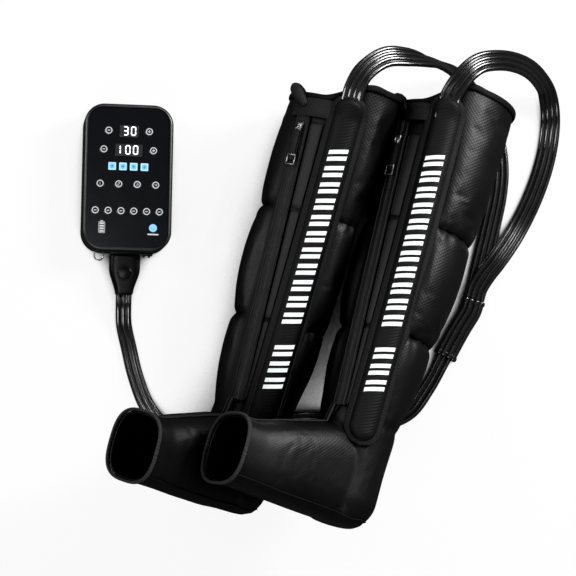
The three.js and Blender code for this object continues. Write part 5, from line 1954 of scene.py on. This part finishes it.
    def zipper_place(self) -> tuple[Matrix, float]:
        """Returns the matrix of the zipper's frame, from millimetres, and the zipper's length."""
        top = self.plain_point(radians(3), self.leg_top - 9)
        foot = self.plain_point(radians(20), 150)
        along = (top - foot).normalized()
        out = outward(radians(11.5))
        out = (out - along * out.dot(along)).normalized()
        across = along.cross(out)
        turn = Matrix((across, along, out)).transposed().to_4x4()
        return self.place @ Matrix.Translation(top) @ turn, (top - foot).length

    def plain_point(self, angle: float, height: float) -> Vector:
        """Returns a place on the leg as if nothing pressed it."""
        kept, self.pressed = self.pressed, False
        spot = self.leg_point(angle, height)
        self.pressed = kept
        return spot

    def zipper(self) -> None:
        """Builds the tape, its coils and welts, the slider and the pull."""
        place, length = self.zipper_place()
        below = length - 2
        half = 10.5

        def tape(across: float, along: float) -> Vector:
            """Returns a place on the tape, which hugs the leg."""
            x = lerp(-half, half, across)
            return Vector((x, -below * (1 - along), 1.5 - x * x / 150))

        bm = shaped_grid(12, 60, tape, (2 * half, below))
        bmesh.ops.solidify(bm, geom=bm.faces[:], thickness=1.4)
        self.piece("tape", bm, Finishes.tape, "tape_fabric", place=place, solid="zipper_tape")
        coils = []
        turns, coil_across, coil_wide, coil_tall = 150, 1.15, 1.1, 0.85
        for side in (-1, 1):

            def coil(across: float, along: float) -> Vector:
                """Returns a place on one coil, whose turns swell and sink."""
                swell = 0.85 + 0.3 * sin(2 * pi * turns * along)
                turn = 2 * pi * across
                x = side * coil_across + coil_wide * swell * cos(turn)
                return Vector((x, -below * (1 - along), 1.2 + coil_tall * swell * sin(turn)))

            coils.append(shaped_grid(8, turns * 5, coil, (6, below), ring=True, capped=True))
        self.piece("coils", merged(*coils), Finishes.dark_plastic, "tape_fabric", place=place)
        welts = []
        steps, welt_across, welt_radius = 80, 8.2, 1.1
        for side in (-1, 1):
            heights = [1.2 + 0.3 * sin(step * 0.9) for step in range(steps + 1)]
            path = [
                Vector((side * welt_across, -below * step / steps, height))
                for step, height in enumerate(heights)
            ]
            welts.append(tube(path, welt_radius, 10))
        self.piece("zipper_welts", merged(*welts), Finishes.tape, "tape_fabric", place=place)
        self.slider(place)
        self.pull(place)

    def slider(self, place: Matrix) -> None:
        """Builds the die-cast slider with its bridge."""
        body = block((-4.5, -46, 2.3), (4.5, -34, 6))
        for vert in body.verts:
            if vert.co.y < -40:
                vert.co.x *= 0.72
        round_edges(body, 1.3, 4)
        arch = ((-38.9, 5.4), (-39.2, 8.6), (-40.8, 9.9), (-43, 9.8), (-44.4, 8.6), (-44.8, 5.4))
        bridge = tube([Vector((0, *spot)) for spot in arch], 0.9, 10, Vector((1, 0, 0)))
        self.piece(
            "slider_body", merged(body, bridge), Finishes.dark_nickel, "chrome", place=place,
            body=f"{self.side}_zipper_slider", solid="zipper_slider",
        )

    def pull(self, place: Matrix) -> None:
        """Builds the pull: a pin and two arms, a webbing strap and a rectangular ring at its end."""
        level, pin, wire_half = 7.73, 0.7, 0.75
        metal = [tube([Vector((across, -42, level)) for across in (-3.5, 0, 3.5)], pin, 10)]
        for side in (-1, 1):
            metal.append(tube([Vector((side * 3.1, along, level)) for along in (-42, -46, -80)], 0.45, 8))
        corners = [(-6, -79), (6, -79), (6, -92), (-6, -92)]
        ring = []
        for start, end in zip(corners, corners[1:] + corners[:1]):
            low = [min(pair) - wire_half for pair in zip(start, end)]
            high = [max(pair) + wire_half for pair in zip(start, end)]
            ring.append(round_edges(block((*low, level - pin), (*high, level + pin)), 0.35, 2))
        body = f"{self.side}_zipper_pull"
        metal = merged(*metal, *ring)
        self.piece("pull_metal", metal, Finishes.dark_nickel, "chrome", place=place, body=body)
        strap = block((-3.6, -86, level - 0.6), (3.6, -45.4, level + 0.5))
        round_edges(strap, 0.4, 2)
        self.piece(
            "pull_strap", strap, Finishes.webbing, "strap_webbing", place=place, body=body,
            replaces=[body],
        )


# The studio


@dataclass
class Studio:
    """A pale floor, soft light and the photograph's camera."""

    target: Vector = field(default_factory=lambda: Vector((258.6, -79.7, 0)))
    right: Vector = field(default_factory=lambda: Vector((0.9532, 0.2627, 0.1499)))
    up: Vector = field(default_factory=lambda: Vector((-0.2754, 0.9587, 0.0711)))
    distance: float = 2900
    view_width: float = 806.4
    sensor: float = 36

    def build(self) -> None:
        """Builds the camera, the lamps, the world and the floor."""
        self.camera()
        self.lamps()
        self.world()
        self.floor()
        bpy.context.scene.view_settings.view_transform = "Standard"

    def camera(self) -> None:
        """Stands the camera where the photograph's was."""
        data = bpy.data.cameras.new("camera")
        data.sensor_width = self.sensor
        data.lens = self.sensor * self.distance / self.view_width
        data.clip_end = 50
        made = add_object("camera", data)
        right = self.right.normalized()
        back = right.cross(self.up).normalized()
        up = back.cross(right)
        turn = Matrix((right, up, back)).transposed().to_4x4()
        made.matrix_world = Matrix.Translation((self.target + back * self.distance) * MM) @ turn
        bpy.context.scene.camera = made

    def lamps(self) -> None:
        """Hangs large soft boxes well off the camera's line, so that gloss shows edges and not glare."""
        boxes = (
            ("right_box", (1.6, 1.45, 1.6), (0.6, 1.0), 68),
            ("left_box", (-2.1, 0.2, 1.7), (0.6, 2.0), 28),
            ("head_box", (0.3, 2.4, 1.9), (1.6, 0.5), 20),
            ("foot_box", (-0.2, -1.9, 1.7), (1.4, 0.5), 15),
            ("camera_spot", (-0.166, -0.151, 2.83), (0.5, 0.5), 3.2),
        )
        middle = self.target * MM
        for name, place, size, power in boxes:
            data = bpy.data.lights.new(name, "AREA")
            data.shape = "RECTANGLE"
            data.size, data.size_y = size
            data.energy = power
            made = add_object(name, data)
            made.location = place
            made.rotation_euler = (middle - Vector(place)).to_track_quat("-Z", "Y").to_euler()

    def world(self) -> None:
        """Surrounds the scene with dim light that looks white to the camera."""
        world = bpy.data.worlds.new("studio")
        bpy.context.scene.world = world
        world.use_nodes = True
        tree = world.node_tree
        ray = add_node(tree, "ShaderNodeLightPath").outputs["Is Camera Ray"]
        limits = {"To Min": 0.05, "To Max": 1.0}
        strength = add_node(tree, "ShaderNodeMapRange", values=limits, links={"Value": ray})
        background = tree.nodes["Background"]
        tree.links.new(strength.outputs["Result"], background.inputs["Strength"])
        background.inputs["Color"].default_value = (1, 1, 1, 1)

    def floor(self) -> None:
        bm = bmesh.new()
        bmesh.ops.create_grid(bm, x_segments=1, y_segments=1, size=6)
        mesh = bpy.data.meshes.new("floor")
        bm.to_mesh(mesh)
        bm.free()
        made = add_object("floor", mesh)
        material, tree, shader = empty_material("paper_floor")
        shader.inputs["Base Color"].default_value = linear("#f4f4f4")
        shader.inputs["Roughness"].default_value = 0.9
        # To the camera the floor is mostly a white glow, which ambient occlusion dims near and between the
        # pieces: painted shade that stands for their shadow. To every other ray it is a dim grey.
        hidden = add_node(tree, "ShaderNodeAmbientOcclusion", {"samples": 16}, {"Distance": 0.12})
        limits = {"From Min": 0.3, "From Max": 0.58}
        sources = {"Value": hidden.outputs["AO"]}
        open_share = add_node(tree, "ShaderNodeMapRange", values=limits, links=sources)
        sources = {"Strength": open_share.outputs[0]}
        white = add_node(tree, "ShaderNodeEmission", values={"Color": (1, 1, 1, 1)}, links=sources)
        sources = {1: shader.outputs["BSDF"], 2: white.outputs["Emission"]}
        seen = add_node(tree, "ShaderNodeMixShader", values={0: 0.9}, links=sources)
        dim = add_node(tree, "ShaderNodeBsdfDiffuse", values={"Color": linear("#3a3a3a")})
        ray = add_node(tree, "ShaderNodeLightPath").outputs["Is Camera Ray"]
        sources = {0: ray, 1: dim.outputs["BSDF"], 2: seen.outputs[0]}
        mix = add_node(tree, "ShaderNodeMixShader", links=sources)
        tree.links.new(mix.outputs[0], tree.nodes["Material Output"].inputs["Surface"])
        mesh.materials.append(material)


def main() -> None:
    """Builds the studio and every sub-assembly."""
    logging.basicConfig(level=logging.INFO, format="%(message)s")
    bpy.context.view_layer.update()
    Studio().build()
    Pump().build()
    HosePlug().build()
    HoseSet().build()
    Boot("left", (251, -404, 63.4), 3.0, 0, 39, True, toe_lift=11, rim_rise=31).build()
    Boot("right", (385, -385, 146), -6.1, 1.2, 26.5, False, rim_rise=35, rim_base=12).build()


if __name__ == "__main__":
    main()
